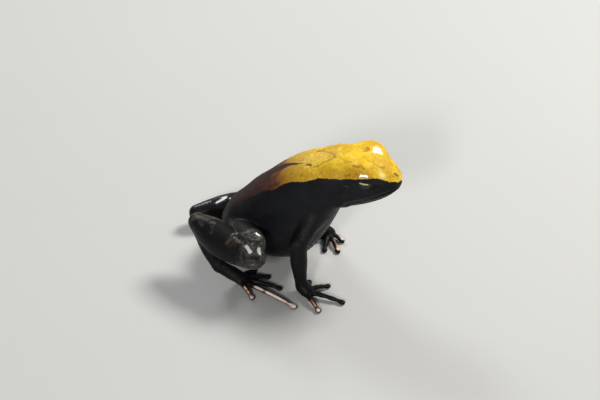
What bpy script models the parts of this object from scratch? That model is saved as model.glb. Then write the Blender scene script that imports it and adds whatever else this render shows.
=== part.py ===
"""A yellow-backed mantella frog at life size, sitting upright: one closed solid for each part of its body.

Sizes below are in millimetres, and the meshes are made in metres. The frog faces +X, its left side is
at +Y, and its toes, fingers and palms rest on the plane z = 0. The snout tip starts at x = 0, and the
whole frog is moved at the end so that the origin lies under the middle of its box.
"""

import math

import bmesh
import bpy
import numpy as np
from mathutils import Matrix, Vector

MM = 0.001
GAP = 0.3  # clearance between neighbouring solids
RIGHT, LEFT = -1, 1
SIDE_NAMES = {RIGHT: "right", LEFT: "left"}

# Head. Its own axis runs back along the line of the mouth, and is pitched nose up.
SNOUT = Vector((0.0, 0.0, 15.6))  # front end of the line of the mouth
HEAD_PITCH = math.radians(13.0)
HEAD_LENGTH = 7.6
HEAD_HALF_WIDTH = 4.25
CROWN_HEIGHT = 5.2  # above the line of the mouth
JAW_DEPTH = 1.85  # below it
SNOUT_BLUNTNESS = 2.15  # 2 is an ellipse seen from above, and more is squarer
MOUTH_LENGTH = 6.3
MOUTH_GROOVE = 0.24
MOUTH_LINE = ((0.0, -0.08), (0.7, 0.05), (1.3, 0.2), (2.0, 0.3), (3.4, 0.27), (4.6, 0.18), (5.9, 0.06), (7.0, 0.0))
MOUTH_SPREAD = (12.0, 24.0)  # degrees of the ring above and below the mouth that rise and fall with it
JAW_INSET = 0.95  # width of the lower jaw as a share of the upper lip's
NOSTRIL = Vector((0.3, 0.6, 1.48))  # back from the snout, out from the middle, up from the mouth
NOSTRIL_RADIUS = 0.2
EYE = Vector((3.9, 2.55, 2.3))
EYE_RADIUS = 1.27
LID_CENTRE = Vector((4.0, 2.2, 2.6))
LID_RADII = Vector((2.15, 1.5, 2.1))
EARDRUM = Vector((6.2, 3.9, 1.6))
EARDRUM_RADIUS = 0.75
EARDRUM_DEPTH = 0.28

# Trunk, from behind the head to the vent: the back and the belly in the middle plane as x and z,
# then half the width, and the share of the depth that lies above the widest level.
TRUNK = (
    ((-10.4, 18.05), (-7.4, 11.0), 4.35, 0.62),
    ((-12.4, 17.2), (-8.2, 8.9), 4.5, 0.56),
    ((-14.9, 15.6), (-9.7, 5.6), 4.7, 0.53),
    ((-17.2, 13.55), (-12.0, 2.4), 4.8, 0.52),
    ((-19.45, 11.4), (-14.9, 1.3), 4.6, 0.5),
    ((-21.4, 9.25), (-18.5, 1.3), 3.9, 0.5),
    ((-22.8, 7.4), (-21.8, 3.1), 2.7, 0.5),
)
VENT = ((-23.5, 5.9), (-23.3, 4.9), 0.7, 0.5)
BACK_SQUARENESS = 2.5
BELLY_SQUARENESS = 2.1
HEAD_TAPER, TRUNK_TAPER = 0.12, 0.08  # how much the flanks lean in towards the back
RING_DEGREES = (0, 14, 28, 41, 53, 64, 74, 82, 87, 90, 93, 98, 106, 116, 128, 141, 154, 167, 180)
MOUTH_RING = RING_DEGREES.index(90)

# Joints of the limbs. The left hind leg is folded flat, and the right one is raised on its toes.
SHOULDER = {RIGHT: (-10.5, -3.3, 10.9), LEFT: (-10.6, 3.4, 11.2)}
ELBOW = {RIGHT: (-12.1, -5.2, 6.7), LEFT: (-13.4, 5.6, 6.4)}
WRIST = {RIGHT: (-11.4, -6.4, 1.1), LEFT: (-11.2, 4.9, 1.15)}
HIP = {RIGHT: (-21.2, -2.2, 5.2), LEFT: (-21.4, 2.2, 4.5)}
THIGH_END = {RIGHT: (-17.1, -8.1, 8.8), LEFT: (-18.0, 7.8, 4.4)}
SHANK_START = {RIGHT: (-17.2, -8.4, 6.75), LEFT: (-18.1, 8.2, 2.4)}
HEEL = {RIGHT: (-25.7, -4.3, 7.55), LEFT: (-28.0, 3.2, 2.4)}
ANKLE = {RIGHT: (-22.35, -6.65, 2.6), LEFT: (-23.2, 3.9, 1.05)}
FOOT_END = {RIGHT: (-19.35, -6.35, 0.7), LEFT: (-20.2, 4.5, 0.7)}

UPPER_ARM_RADII = (1.45, 1.25, 1.05)
FOREARM_RADII = (1.0, 1.1, 0.9, 0.68)
THIGH_RADII = (1.9, 2.0, 1.8, 1.45)
SHANK_RADII = {RIGHT: (1.65, 2.05, 2.0, 1.15), LEFT: (1.35, 1.68, 1.72, 1.08)}
SHANK_BOW = {RIGHT: (-0.25, -0.22, -0.32), LEFT: (0.0, 0.15, 0.1)}
TARSUS_RADII = (0.95, 0.85, 0.8)

# Digits, innermost first, by where their tips rest: x and y.
FINGER_TIPS = {
    RIGHT: ((-10.8, -4.6), (-8.3, -4.8), (-5.85, -7.35), (-8.5, -9.5)),
    LEFT: ((-12.2, 3.3), (-10.2, 2.0), (-8.45, 2.15), (-8.35, 4.3)),
}
TOE_TIPS = {
    RIGHT: ((-18.3, -4.2), (-16.3, -4.9), (-14.3, -6.6), (-11.65, -9.5), (-17.35, -9.1)),
    LEFT: ((-19.2, 2.4), (-17.5, 3.0), (-15.5, 4.1), (-13.1, 5.5), (-17.6, 5.5)),
}
DIGIT_RADIUS = 0.3
DIGIT_ARCH = 0.22
TIP_RADIUS = 0.4  # the small pad at the end of a digit
FLAT_CUT = 0.06  # how far a digit is pressed flat against the ground

SIDES_LIMB, SIDES_DIGIT = 14, 8
GOLD = (0.78, 0.44, 0.03)
BLACK = (0.012, 0.012, 0.015)
BROWN = (0.045, 0.03, 0.022)
EYE_COLOUR = (0.02, 0.014, 0.008)


def clear_scene():
    for obj in list(bpy.data.objects):
        bpy.data.objects.remove(obj)


def skin(name, colour, roughness):
    material = bpy.data.materials.new(name)
    material.use_nodes = True
    shader = material.node_tree.nodes["Principled BSDF"]
    shader.inputs["Base Color"].default_value = (*colour, 1.0)
    shader.inputs["Roughness"].default_value = roughness
    shader.inputs["Metallic"].default_value = 0.0
    return material


def spline(knots, rows, at):
    """Reads rows of numbers, given at rising knots, off smooth natural cubic curves at the places in at."""
    knots, rows, at = (np.asarray(a, float) for a in (knots, rows, at))
    step = np.diff(knots)
    slope = np.diff(rows, axis=0) / step[:, None]
    matrix, right = np.eye(len(knots)), np.zeros_like(rows)
    for i in range(1, len(knots) - 1):
        matrix[i, i - 1 : i + 2] = step[i - 1], 2 * (step[i - 1] + step[i]), step[i]
        right[i] = 6 * (slope[i] - slope[i - 1])
    bend = np.linalg.solve(matrix, right)
    i = np.clip(np.searchsorted(knots, at, side="right") - 1, 0, len(step) - 1)
    width = step[i][:, None]
    low, high = (at - knots[i])[:, None] / width, (knots[i + 1] - at)[:, None] / width
    return (
        rows[i] * high
        + rows[i + 1] * low
        + width**2 / 6 * ((high**3 - high) * bend[i] + (low**3 - low) * bend[i + 1])
    )


def distances(points):
    """How far along a path each of its points lies."""
    steps = np.linalg.norm(np.diff(np.asarray(points, float), axis=0), axis=1)
    return np.concatenate([[0.0], np.cumsum(steps)])


def lofted(name, rings, material):
    """A closed solid through rings of points in millimetres, its first and last rings filled."""
    mesh = bmesh.new()
    rows = [[mesh.verts.new(Vector(point) * MM) for point in ring] for ring in rings]
    count = len(rows[0])
    for low, high in zip(rows, rows[1:]):
        for i in range(count):
            mesh.faces.new((low[i], low[(i + 1) % count], high[(i + 1) % count], high[i]))
    mesh.faces.new(rows[0])
    mesh.faces.new(rows[-1])
    bmesh.ops.recalc_face_normals(mesh, faces=mesh.faces)
    bmesh.ops.triangulate(mesh, faces=mesh.faces)
    return placed(name, mesh, material)


def placed(name, mesh, material):
    data = bpy.data.meshes.new(name)
    mesh.to_mesh(data)
    mesh.free()
    data.materials.append(material)
    obj = bpy.data.objects.new(name, data)
    bpy.context.scene.collection.objects.link(obj)
    return obj


def ellipsoid(name, centre, radii, material, segments=20, turn=0.0):
    """An ellipsoid about centre, in millimetres, turned about Y by turn."""
    mesh = bmesh.new()
    bmesh.ops.create_uvsphere(mesh, u_segments=segments, v_segments=segments // 2, radius=1.0)
    for vert in mesh.verts:
        x, y, z = (a * b for a, b in zip(vert.co, radii))
        x, z = x * math.cos(turn) + z * math.sin(turn), z * math.cos(turn) - x * math.sin(turn)
        vert.co = (Vector((x, y, z)) + Vector(centre)) * MM
    bmesh.ops.triangulate(mesh, faces=mesh.faces)
    return placed(name, mesh, material)


def tube(name, path, radii, material, sides, up=(0, 0, 1), grow=0.0, rings=10, flat=1.0):
    """A limb: round sections along a smooth path, with domed ends. Radii are spread evenly along it."""
    along = distances(path)
    at = np.linspace(0.0, along[-1], rings)
    centres = spline(along, path, at)
    sizes = spline(np.linspace(0.0, along[-1], len(radii)), np.reshape(radii, (-1, 1)), at)[:, 0] + grow
    tangents = np.gradient(centres, axis=0)
    tangents /= np.linalg.norm(tangents, axis=1)[:, None]
    dome = [math.radians(a) for a in (75, 50, 25)]
    sections = [(centres[0] - tangents[0] * sizes[0] * math.sin(a), tangents[0], sizes[0] * math.cos(a)) for a in dome]
    sections += list(zip(centres, tangents, sizes))
    sections += [
        (centres[-1] + tangents[-1] * sizes[-1] * math.sin(a), tangents[-1], sizes[-1] * math.cos(a))
        for a in reversed(dome)
    ]
    made = []
    for centre, tangent, size in sections:
        across = np.cross(tangent, up)
        across /= np.linalg.norm(across)
        rise = np.cross(across, tangent) * flat
        angles = [2 * math.pi * i / sides for i in range(sides)]
        made.append([centre + size * (math.cos(a) * across + math.sin(a) * rise) for a in angles])
    return lofted(name, made, material)


def applied(obj):
    """Turns the object's modifiers into its mesh."""
    bpy.context.view_layer.update()
    graph = bpy.context.evaluated_depsgraph_get()
    obj.data = bpy.data.meshes.new_from_object(obj.evaluated_get(graph))
    obj.modifiers.clear()
    return obj


def combined(obj, others, operation):
    """Unites obj with closed pieces, or cuts them from it, and removes the pieces."""
    helpers = bpy.data.collections.new("helpers")
    bpy.context.scene.collection.children.link(helpers)
    for other in others:
        bpy.context.scene.collection.objects.unlink(other)
        helpers.objects.link(other)
    boolean = obj.modifiers.new(operation.lower(), "BOOLEAN")
    boolean.operation = operation
    boolean.operand_type = "COLLECTION"
    boolean.collection = helpers
    boolean.solver = "EXACT"
    applied(obj)
    for other in others:
        bpy.data.objects.remove(other)
    bpy.data.collections.remove(helpers)
    return keep_largest(obj)


def keep_largest(obj):
    """Leaves only the largest closed surface of obj."""
    mesh = bmesh.new()
    mesh.from_mesh(obj.data)
    bmesh.ops.remove_doubles(mesh, verts=mesh.verts, dist=0.002 * MM)
    left, groups = set(mesh.verts), []
    while left:
        group, edge = set(), [left.pop()]
        while edge:
            vert = edge.pop()
            group.add(vert)
            near = {e.other_vert(vert) for e in vert.link_edges} & left
            left -= near
            edge.extend(near)
        groups.append(group)
    groups.sort(key=len)
    for group in groups[:-1]:
        bmesh.ops.delete(mesh, geom=list(group), context="VERTS")
    mesh.to_mesh(obj.data)
    mesh.free()
    return obj


def head_point(back, out, up):
    """A place in the head's own frame: back from the snout, out from the middle, up from the mouth."""
    pitch = HEAD_PITCH
    return SNOUT + Vector(
        (-back * math.cos(pitch) - up * math.sin(pitch), out, up * math.cos(pitch) - back * math.sin(pitch))
    )


def section(back, belly, half_width, level, taper, grow=0.0, groove=0.0, inset=1.0, arch=0.0):
    """One closed ring of the head or trunk, through a back and a belly point of the middle plane."""
    back, belly = (Vector((p[0], 0.0, p[1])) for p in (back, belly))
    up = (back - belly).normalized()
    depth = (back - belly).length
    centre = back - up * depth * level
    above, below = depth * level + grow, depth * (1 - level) + grow
    half = []
    for i, degrees in enumerate(RING_DEGREES):
        angle = math.radians(degrees)
        top = degrees < 90
        power = 2 / (BACK_SQUARENESS if top else BELLY_SQUARENESS)
        rise = abs(math.cos(angle)) ** power if degrees != 90 else 0.0
        out = (half_width + grow) * max(math.sin(angle), 0.0) ** power
        out *= 1 - taper * rise if top else 1.0
        if degrees > 90:
            out *= inset
        if i == MOUTH_RING:
            out -= groove
        spread = MOUTH_SPREAD[0] if top else MOUTH_SPREAD[1]
        lift = arch * max(1 - abs(degrees - 90) / spread, 0.0)
        half.append((out, (above * rise if top else -below * rise) + lift))
    left = [centre + Vector((0, out, 0)) + up * rise for out, rise in half]
    right = [centre - Vector((0, out, 0)) + up * rise for out, rise in half[-2:0:-1]]
    return left + right


def head_section(back, grow=0.0):
    """The ring of the head at a distance back from the snout."""
    left = 1 - min(back / HEAD_LENGTH, 1.0)
    fullness = math.sqrt(1 - left**2)
    width = HEAD_HALF_WIDTH * (1 - left**SNOUT_BLUNTNESS) ** (1 / SNOUT_BLUNTNESS)
    crown, jaw = head_point(back, 0, CROWN_HEIGHT * fullness), head_point(back, 0, -JAW_DEPTH * fullness)
    closing = min(max((MOUTH_LENGTH + 0.3 - back) / 0.6, 0.0), 1.0) * min(back / 0.6, 1.0)
    inset = 1 - (1 - JAW_INSET) * closing
    level = CROWN_HEIGHT / (CROWN_HEIGHT + JAW_DEPTH)
    backs, ups = zip(*MOUTH_LINE)
    arch = float(np.interp(back, backs, ups)) * min(fullness * 2, 1.0)
    return section(
        (crown.x, crown.z), (jaw.x, jaw.z), width, level, HEAD_TAPER, grow, MOUTH_GROOVE * closing, inset, arch
    )


def trunk_sections(start, end, count, grow=0.0):
    """Rings of the trunk between two places, as shares of the way from the neck to the vent."""
    crown, jaw = head_point(HEAD_LENGTH, 0, CROWN_HEIGHT), head_point(HEAD_LENGTH, 0, -JAW_DEPTH)
    level = CROWN_HEIGHT / (CROWN_HEIGHT + JAW_DEPTH)
    neck = (crown.x, crown.z, jaw.x, jaw.z, HEAD_HALF_WIDTH, level)
    rows = [neck] + [(*back, *belly, width, share) for back, belly, width, share in TRUNK + (VENT,)]
    middles = [((r[0] + r[2]) / 2, (r[1] + r[3]) / 2) for r in rows]
    along = distances(middles)
    at = np.linspace(start, end, count) * along[-1]
    made = []
    for share, row in zip(at / along[-1], spline(along, rows, at)):
        taper = HEAD_TAPER + (TRUNK_TAPER - HEAD_TAPER) * min(share * 4, 1.0)
        made.append(section(row[0:2], row[2:4], max(row[4], 0.3), row[5], taper, grow))
    return made


def head(materials):
    backs = [0.02, 0.09, 0.22, 0.42, 0.7, 1.05, 1.45, 1.9, 2.4, 2.9, 3.4, 3.9, 4.4, 4.9, 5.4, 5.9, 6.3, 6.7]
    made = lofted("head", [head_section(back) for back in backs + [HEAD_LENGTH - GAP / 2]], materials["gold"])
    lids = []
    for side in (RIGHT, LEFT):
        lid = head_point(LID_CENTRE.x, side * LID_CENTRE.y, LID_CENTRE.z)
        lids.append(ellipsoid("lid", lid, LID_RADII, materials["gold"], 24, HEAD_PITCH))
    combined(made, lids, "UNION")
    cutters = []
    for side in (RIGHT, LEFT):
        eye = head_point(EYE.x, side * EYE.y, EYE.z)
        cutters.append(ellipsoid("socket", eye, [EYE_RADIUS + GAP * 0.8] * 3, materials["gold"], 24))
        nostril = head_point(NOSTRIL.x, side * NOSTRIL.y, NOSTRIL.z)
        cutters.append(ellipsoid("nostril", nostril, [NOSTRIL_RADIUS] * 3, materials["gold"], 8))
        drum = head_point(EARDRUM.x, side * EARDRUM.y, EARDRUM.z)
        radii = (EARDRUM_RADIUS, EARDRUM_DEPTH, EARDRUM_RADIUS)
        cutters.append(ellipsoid("eardrum", drum, radii, materials["gold"], 16))
    combined(made, cutters, "DIFFERENCE")
    return made


def trunk(materials):
    length = distances([((b[0] + v[0]) / 2, (b[1] + v[1]) / 2) for b, v, _, _ in TRUNK + (VENT,)])[-1]
    start = GAP / 2 / length
    return lofted("torso", trunk_sections(start, 1.0, 26), materials["gold"])


def grown_trunk(material):
    """The trunk with its clearance, which cuts the limbs at their roots."""
    return lofted("clearance", trunk_sections(-0.02, 1.0, 26, GAP), material)


def between(start, end, sag):
    """A point midway from start to end, moved by sag, so that a limb bows a little."""
    return tuple((a + b) / 2 + c for a, b, c in zip(start, end, sag))


def limb_parts(side):
    """Each length of the limbs on one side: name, path, radii and the direction that its section is turned to."""
    s = side
    upper_arm = (SHOULDER[s], between(SHOULDER[s], ELBOW[s], (0.0, side * 0.15, 0.1)), ELBOW[s])
    forearm = (ELBOW[s], between(ELBOW[s], WRIST[s], (-0.08, side * 0.1, 0)), WRIST[s])
    thigh = (HIP[s], between(HIP[s], THIGH_END[s], (0.1, 0, 0.1)), THIGH_END[s])
    shank = (SHANK_START[s], between(SHANK_START[s], HEEL[s], SHANK_BOW[s]), HEEL[s])
    tarsus = (HEEL[s], between(HEEL[s], ANKLE[s], (-0.05, side * 0.45, -0.2)), ANKLE[s])
    return (
        ("upper_arm", upper_arm, UPPER_ARM_RADII, (1, 0, 0)),
        ("forearm", forearm, FOREARM_RADII, (1, 0, 0)),
        ("thigh", thigh, THIGH_RADII, (0, 0, 1)),
        ("shank", shank, SHANK_RADII[s], (0, 0, 1)),
        ("tarsus", tarsus, TARSUS_RADII, (0, 1, 0)),
    )


def digit(start, tip, material):
    """A finger or toe from the palm or foot to its pad, which lies on the ground."""
    tip_height = TIP_RADIUS * 0.8 - FLAT_CUT
    end = (tip[0], tip[1], tip_height)
    middle = between(start, end, (0, 0, DIGIT_ARCH))
    radii = (DIGIT_RADIUS * 1.35, DIGIT_RADIUS * 1.1, DIGIT_RADIUS, DIGIT_RADIUS * 0.95, TIP_RADIUS)
    return tube("digit", (start, middle, end), radii, material, SIDES_DIGIT, rings=9)


def ground(material):
    """A block under z = 0, which presses the palms, fingers and toes flat."""
    mesh = bmesh.new()
    bmesh.ops.create_cube(mesh, size=1.0)
    for vert in mesh.verts:
        vert.co = Vector((vert.co.x * 60 - 15, vert.co.y * 40, vert.co.z * 4 - 2)) * MM
    return placed("ground", mesh, material)


def extremity(name, base, palm, tips, width, material):
    """A hand or foot: a flattened pad from base to palm, united with its digits."""
    pad = tube(name, (base, between(base, palm, (0, 0, 0)), palm), (0.75, width, width * 0.9), material, 12,
               rings=6, flat=0.6)
    digits = []
    centre = Vector(palm)
    heading = (centre - Vector(base)).to_2d().normalized()
    spread = Vector((-heading.y, heading.x, 0.0))
    for i, tip in enumerate(tips):
        offset = (i - (len(tips) - 1) / 2) / len(tips) * width * 1.3
        offset *= 1 if base[1] < 0 else -1
        start = centre - spread * offset - Vector((heading.x, heading.y, 0)) * 0.25
        start.z = min(palm[2], 0.6)
        digits.append(digit(tuple(start), tip, material))
    return combined(pad, digits, "UNION")


def limbs(side, materials):
    """The arm and the leg on one side, each length cut clear of the one that it grows from."""
    parts = {name: (path, radii, up) for name, path, radii, up in limb_parts(side)}
    suffix = SIDE_NAMES[side]
    material = materials["brown"]

    def length(name, grow=0.0):
        path, radii, up = parts[name]
        return tube(name + "_" + suffix, path, radii, material, SIDES_LIMB, up, grow)

    upper_arm = combined(length("upper_arm"), [grown_trunk(material)], "DIFFERENCE")
    forearm = combined(length("forearm"), [length("upper_arm", GAP), grown_trunk(material)], "DIFFERENCE")
    thigh = combined(length("thigh"), [grown_trunk(material)], "DIFFERENCE")
    shank = combined(length("shank"), [length("thigh", GAP), grown_trunk(material)], "DIFFERENCE")
    tarsus = combined(length("tarsus"), [length("shank", GAP)], "DIFFERENCE")
    wrist, ankle = WRIST[side], ANKLE[side]
    palm = (wrist[0] + 1.0, wrist[1] + side * 0.3, 0.55)
    hand = extremity("hand_" + suffix, wrist, palm, FINGER_TIPS[side], 0.95, material)
    combined(hand, [length("forearm", GAP), ground(material)], "DIFFERENCE")
    foot = extremity("foot_" + suffix, ankle, FOOT_END[side], TOE_TIPS[side], 0.95, material)
    combined(foot, [length("tarsus", GAP), ground(material)], "DIFFERENCE")
    return [upper_arm, forearm, hand, thigh, shank, tarsus, foot]


def settle(nodes):
    """Moves the frog so that the origin lies under the middle of its box, and smooths its shading."""
    points = np.array([vert.co for node in nodes for vert in node.data.vertices])
    low, high = points.min(axis=0), points.max(axis=0)
    middle = Vector(((low[0] + high[0]) / 2, (low[1] + high[1]) / 2, low[2]))
    for node in nodes:
        node.data.transform(Matrix.Translation(-middle))
        node.data.shade_smooth()
        node.data.set_sharp_from_angle(angle=math.radians(40))


def main():
    clear_scene()
    materials = {
        "gold": skin("golden_back", GOLD, 0.35),
        "black": skin("black_flank", BLACK, 0.45),
        "brown": skin("dark_limb", BROWN, 0.4),
        "eye": skin("eye", EYE_COLOUR, 0.08),
    }
    nodes = [head(materials), trunk(materials)]
    for side in (RIGHT, LEFT):
        eye = head_point(EYE.x, side * EYE.y, EYE.z)
        nodes.append(ellipsoid("eye_" + SIDE_NAMES[side], eye, [EYE_RADIUS] * 3, materials["eye"], 24))
        nodes += limbs(side, materials)
    settle(nodes)


main()
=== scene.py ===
"""A yellow-backed mantella frog at life size, sitting upright, with its skin, eyes, floor, lights and camera.

Sizes are in millimetres in the frog's own frame, where its snout tip is at x = 0, it faces +X, its left
side is at +Y and the floor is z = 0. Meshes are made in metres, moved to where the solids stand.
"""

import math
from itertools import product

import bmesh
import bpy
import numpy as np
from bpy.props import FloatProperty, FloatVectorProperty, PointerProperty
from mathutils import Matrix, Vector


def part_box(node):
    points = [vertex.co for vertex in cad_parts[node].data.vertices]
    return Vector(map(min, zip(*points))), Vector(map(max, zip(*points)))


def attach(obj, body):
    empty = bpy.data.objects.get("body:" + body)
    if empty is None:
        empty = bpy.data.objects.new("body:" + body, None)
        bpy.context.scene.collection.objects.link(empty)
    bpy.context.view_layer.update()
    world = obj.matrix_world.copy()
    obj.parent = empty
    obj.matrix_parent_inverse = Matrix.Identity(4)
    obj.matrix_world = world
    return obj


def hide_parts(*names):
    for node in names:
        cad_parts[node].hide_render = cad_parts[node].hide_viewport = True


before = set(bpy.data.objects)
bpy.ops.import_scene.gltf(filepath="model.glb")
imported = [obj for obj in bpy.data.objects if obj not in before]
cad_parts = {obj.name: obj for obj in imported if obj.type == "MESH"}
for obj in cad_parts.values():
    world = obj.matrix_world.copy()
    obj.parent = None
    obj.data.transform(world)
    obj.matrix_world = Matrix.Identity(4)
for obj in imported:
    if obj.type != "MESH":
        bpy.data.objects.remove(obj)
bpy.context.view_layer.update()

bl_info = {
    "name": "Mantella Frog",
    "version": (1, 0, 0),
    "blender": (4, 5, 0),
    "location": "View3D > Sidebar > Frog",
    "description": "Makes a life-size mantella frog with wet, granular skin, and a plain studio for it",
    "category": "Add Mesh",
}

MM = 0.001
RIGHT, LEFT = -1, 1
SIDE_NAMES = {RIGHT: "right", LEFT: "left"}

# Head. Its own axis runs back along the line of the mouth, and is pitched nose up.
SNOUT = np.array((0.0, 0.0, 15.6))  # front end of the line of the mouth
HEAD_PITCH = math.radians(13.0)
HEAD_LENGTH = 7.6
HEAD_HALF_WIDTH = 4.25
CROWN_HEIGHT = 5.2  # above the line of the mouth
JAW_DEPTH = 1.85  # below it
SNOUT_BLUNTNESS = 2.15
MOUTH_LENGTH = 6.3
JAW_INSET = 0.95
EYE = (3.9, 2.55, 2.3)  # back from the snout, out from the middle, up from the mouth
EYE_RADIUS = 1.27
LID_CENTRE = (4.0, 2.2, 2.6)
LID_RADII = (2.15, 1.5, 2.1)
EARDRUM = (6.2, 3.9, 1.6)
EARDRUM_RADIUS = 0.72

# Trunk, from behind the head to the vent: the back and the belly in the middle plane as x and z,
# then half the width, and the share of the depth that lies above the widest level.
TRUNK = (
    ((-10.4, 18.05), (-7.4, 11.0), 4.35, 0.62),
    ((-12.4, 17.2), (-8.2, 8.9), 4.5, 0.56),
    ((-14.9, 15.6), (-9.7, 5.6), 4.7, 0.53),
    ((-17.2, 13.55), (-12.0, 2.4), 4.8, 0.52),
    ((-19.45, 11.4), (-14.9, 1.3), 4.6, 0.5),
    ((-21.4, 9.25), (-18.5, 1.3), 3.9, 0.5),
    ((-22.8, 7.4), (-21.8, 3.1), 2.7, 0.5),
    ((-23.5, 5.9), (-23.3, 4.9), 0.7, 0.5),
)
BACK_SQUARENESS = 2.5
BELLY_SQUARENESS = 2.1
HEAD_TAPER, TRUNK_TAPER = 0.12, 0.08  # how much the flanks lean in towards the back
TAPER_CHANGE = 0.25  # share of the trunk over which the one becomes the other
JAW_FADE = 0.3  # over which the inset of the jaw begins and ends
SNOUT_RINGS = (0.001, 0.004, 0.01, 0.02)  # how far back the first rings stand; more spread out from the last
HEAD_RINGS, TRUNK_RINGS = 70, 110

# Joints of the limbs. The left hind leg is folded flat, and the right one is raised on its toes.
SHOULDER = {RIGHT: (-10.5, -3.3, 10.9), LEFT: (-10.6, 3.4, 11.2)}
ELBOW = {RIGHT: (-12.1, -5.2, 6.7), LEFT: (-13.4, 5.6, 6.4)}
WRIST = {RIGHT: (-11.4, -6.4, 1.1), LEFT: (-11.2, 4.9, 1.15)}
HIP = {RIGHT: (-21.2, -2.2, 5.2), LEFT: (-21.4, 2.2, 4.5)}
THIGH_END = {RIGHT: (-17.1, -8.1, 8.8), LEFT: (-18.0, 7.8, 4.4)}
SHANK_START = {RIGHT: (-17.2, -8.4, 6.75), LEFT: (-18.1, 8.2, 2.4)}
HEEL = {RIGHT: (-25.7, -4.3, 7.55), LEFT: (-28.0, 3.2, 2.4)}
ANKLE = {RIGHT: (-22.35, -6.65, 2.6), LEFT: (-23.2, 3.9, 1.05)}
FOOT_END = {RIGHT: (-19.35, -6.35, 0.7), LEFT: (-20.2, 4.5, 0.7)}
UPPER_ARM_RADII = (1.45, 1.25, 1.05)
FOREARM_RADII = (1.0, 1.1, 0.9, 0.68)
THIGH_RADII = (1.9, 2.0, 1.8, 1.45)
SHANK_RADII = {RIGHT: (1.65, 2.05, 2.0, 1.15), LEFT: (1.35, 1.68, 1.72, 1.08)}
TARSUS_RADII = (0.95, 0.85, 0.8)
PALM_RADII = (0.7, 0.9, 0.8)
UPPER_ARM_BOW = (0.0, 0.15, 0.1)  # how far the middle stands off the straight line: ahead, out and up
FOREARM_BOW = (-0.08, 0.1, 0.0)
THIGH_BOW = (0.1, 0.0, 0.1)
SHANK_BOW = {RIGHT: (-0.25, 0.22, -0.32), LEFT: (0.0, 0.15, 0.1)}
TARSUS_BOW = (-0.05, 0.45, -0.2)
PALM_REACH = (1.0, 0.3)  # the end of the palm, ahead of the wrist and out from it
PALM_HEIGHT = 0.55
FINGER_TIPS = {
    RIGHT: ((-10.8, -4.6), (-8.3, -4.8), (-5.85, -7.35), (-8.5, -9.5)),
    LEFT: ((-12.2, 3.3), (-10.2, 2.0), (-8.45, 2.15), (-8.35, 4.3)),
}
TOE_TIPS = {
    RIGHT: ((-18.3, -4.2), (-16.3, -4.9), (-14.3, -6.6), (-11.65, -9.5), (-17.35, -9.1)),
    LEFT: ((-19.2, 2.4), (-17.5, 3.0), (-15.5, 4.1), (-13.1, 5.5), (-17.6, 5.5)),
}
DIGIT_RADIUS = 0.3
DIGIT_THICKNESS = (1.35, 1.1, 1.0, 0.9, 0.8)  # from root to tip, as a share of that radius
DIGIT_ARCH = 0.22
DIGIT_FAN = 1.235  # how wide the roots of the digits stand apart
DIGIT_ROOT = 0.25  # how far back inside the palm they start
ROOT_HEIGHT = 0.6
KNUCKLES = ((0.42, 0.05), (0.7, 0.045))  # share of the length of a digit, and width
KNUCKLE_SWELL = 0.13
PAD_RADII = (0.44, 0.4, 0.3)  # the small disc at the end of a digit: along, across, up
PAD_PRESS = 0.85  # height of its middle on the floor, as a share of its upward radius
PATH_POINTS, PALM_POINTS, DIGIT_POINTS, LINE_POINTS = 20, 8, 22, 16

# How the skin is drawn.
FAR = 9.0  # stands for any distance too long to matter
CELL = 0.157  # spacing of the samples that the skin is drawn through
BATCH = 20000  # points worked on at a time
PATH_MARGIN, BALL_MARGIN = 0.9, 0.6  # how far beyond its radius each shape is worked out
BODY_LOW, BODY_HIGH = (-30.5, -11.3, -0.6), (1.0, 10.6, 20.6)
TRUNK_LOW, TRUNK_HIGH = (-24.5, -5.6, 1.2), (0.8, 5.6, 20.5)
FLOOR_REACH = 2.0  # height up to which the floor presses the skin flat
LID_BLEND, FLOOR_BLEND = 0.9, 0.08
PALM_BLEND, DIGIT_BLEND, PAD_BLEND = 0.5, 0.28, 0.12
UNSHRINK = 1.02  # the outward half of each smoothing step, against the inward half


# ---------------------------------------------------------------- shapes, in millimetres


UPRIGHT = np.eye(3)
HEAD_AXES = (  # back, out to the left, and up
    np.array((-math.cos(HEAD_PITCH), 0.0, -math.sin(HEAD_PITCH))),
    np.array((0.0, 1.0, 0.0)),
    np.array((-math.sin(HEAD_PITCH), 0.0, math.cos(HEAD_PITCH))),
)


def spline(knots, rows, at):
    """Reads rows of numbers, given at rising knots, off smooth natural cubic curves at the places in at."""
    knots, rows, at = (np.asarray(a, float) for a in (knots, rows, at))
    step = np.diff(knots)
    slope = np.diff(rows, axis=0) / step[:, None]
    matrix, right = np.eye(len(knots)), np.zeros_like(rows)
    for i in range(1, len(knots) - 1):
        matrix[i, i - 1 : i + 2] = step[i - 1], 2 * (step[i - 1] + step[i]), step[i]
        right[i] = 6 * (slope[i] - slope[i - 1])
    bend = np.linalg.solve(matrix, right)
    i = np.clip(np.searchsorted(knots, at, side="right") - 1, 0, len(step) - 1)
    width = step[i][:, None]
    low, high = (at - knots[i])[:, None] / width, (knots[i + 1] - at)[:, None] / width
    return (
        rows[i] * high
        + rows[i + 1] * low
        + width**2 / 6 * ((high**3 - high) * bend[i] + (low**3 - low) * bend[i + 1])
    )


def distances(points):
    """How far along a path each of its points lies."""
    steps = np.linalg.norm(np.diff(np.asarray(points, float), axis=0), axis=1)
    return np.concatenate([[0.0], np.cumsum(steps)])


def soft_step(low, high, value):
    """0 below low and 1 above high, with a smooth rise between."""
    share = np.clip((value - low) / (high - low), 0.0, 1.0)
    return share * share * (3 - 2 * share)


def bump(value, width):
    """A smooth hill of height 1 about zero."""
    return np.exp(-((value / width) ** 2))


def rounded_square(across, up, squareness):
    """How far out a point lies: 1 on the edge of a rounded square of half width 1."""
    return (across**squareness + up**squareness) ** (1 / squareness)


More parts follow.
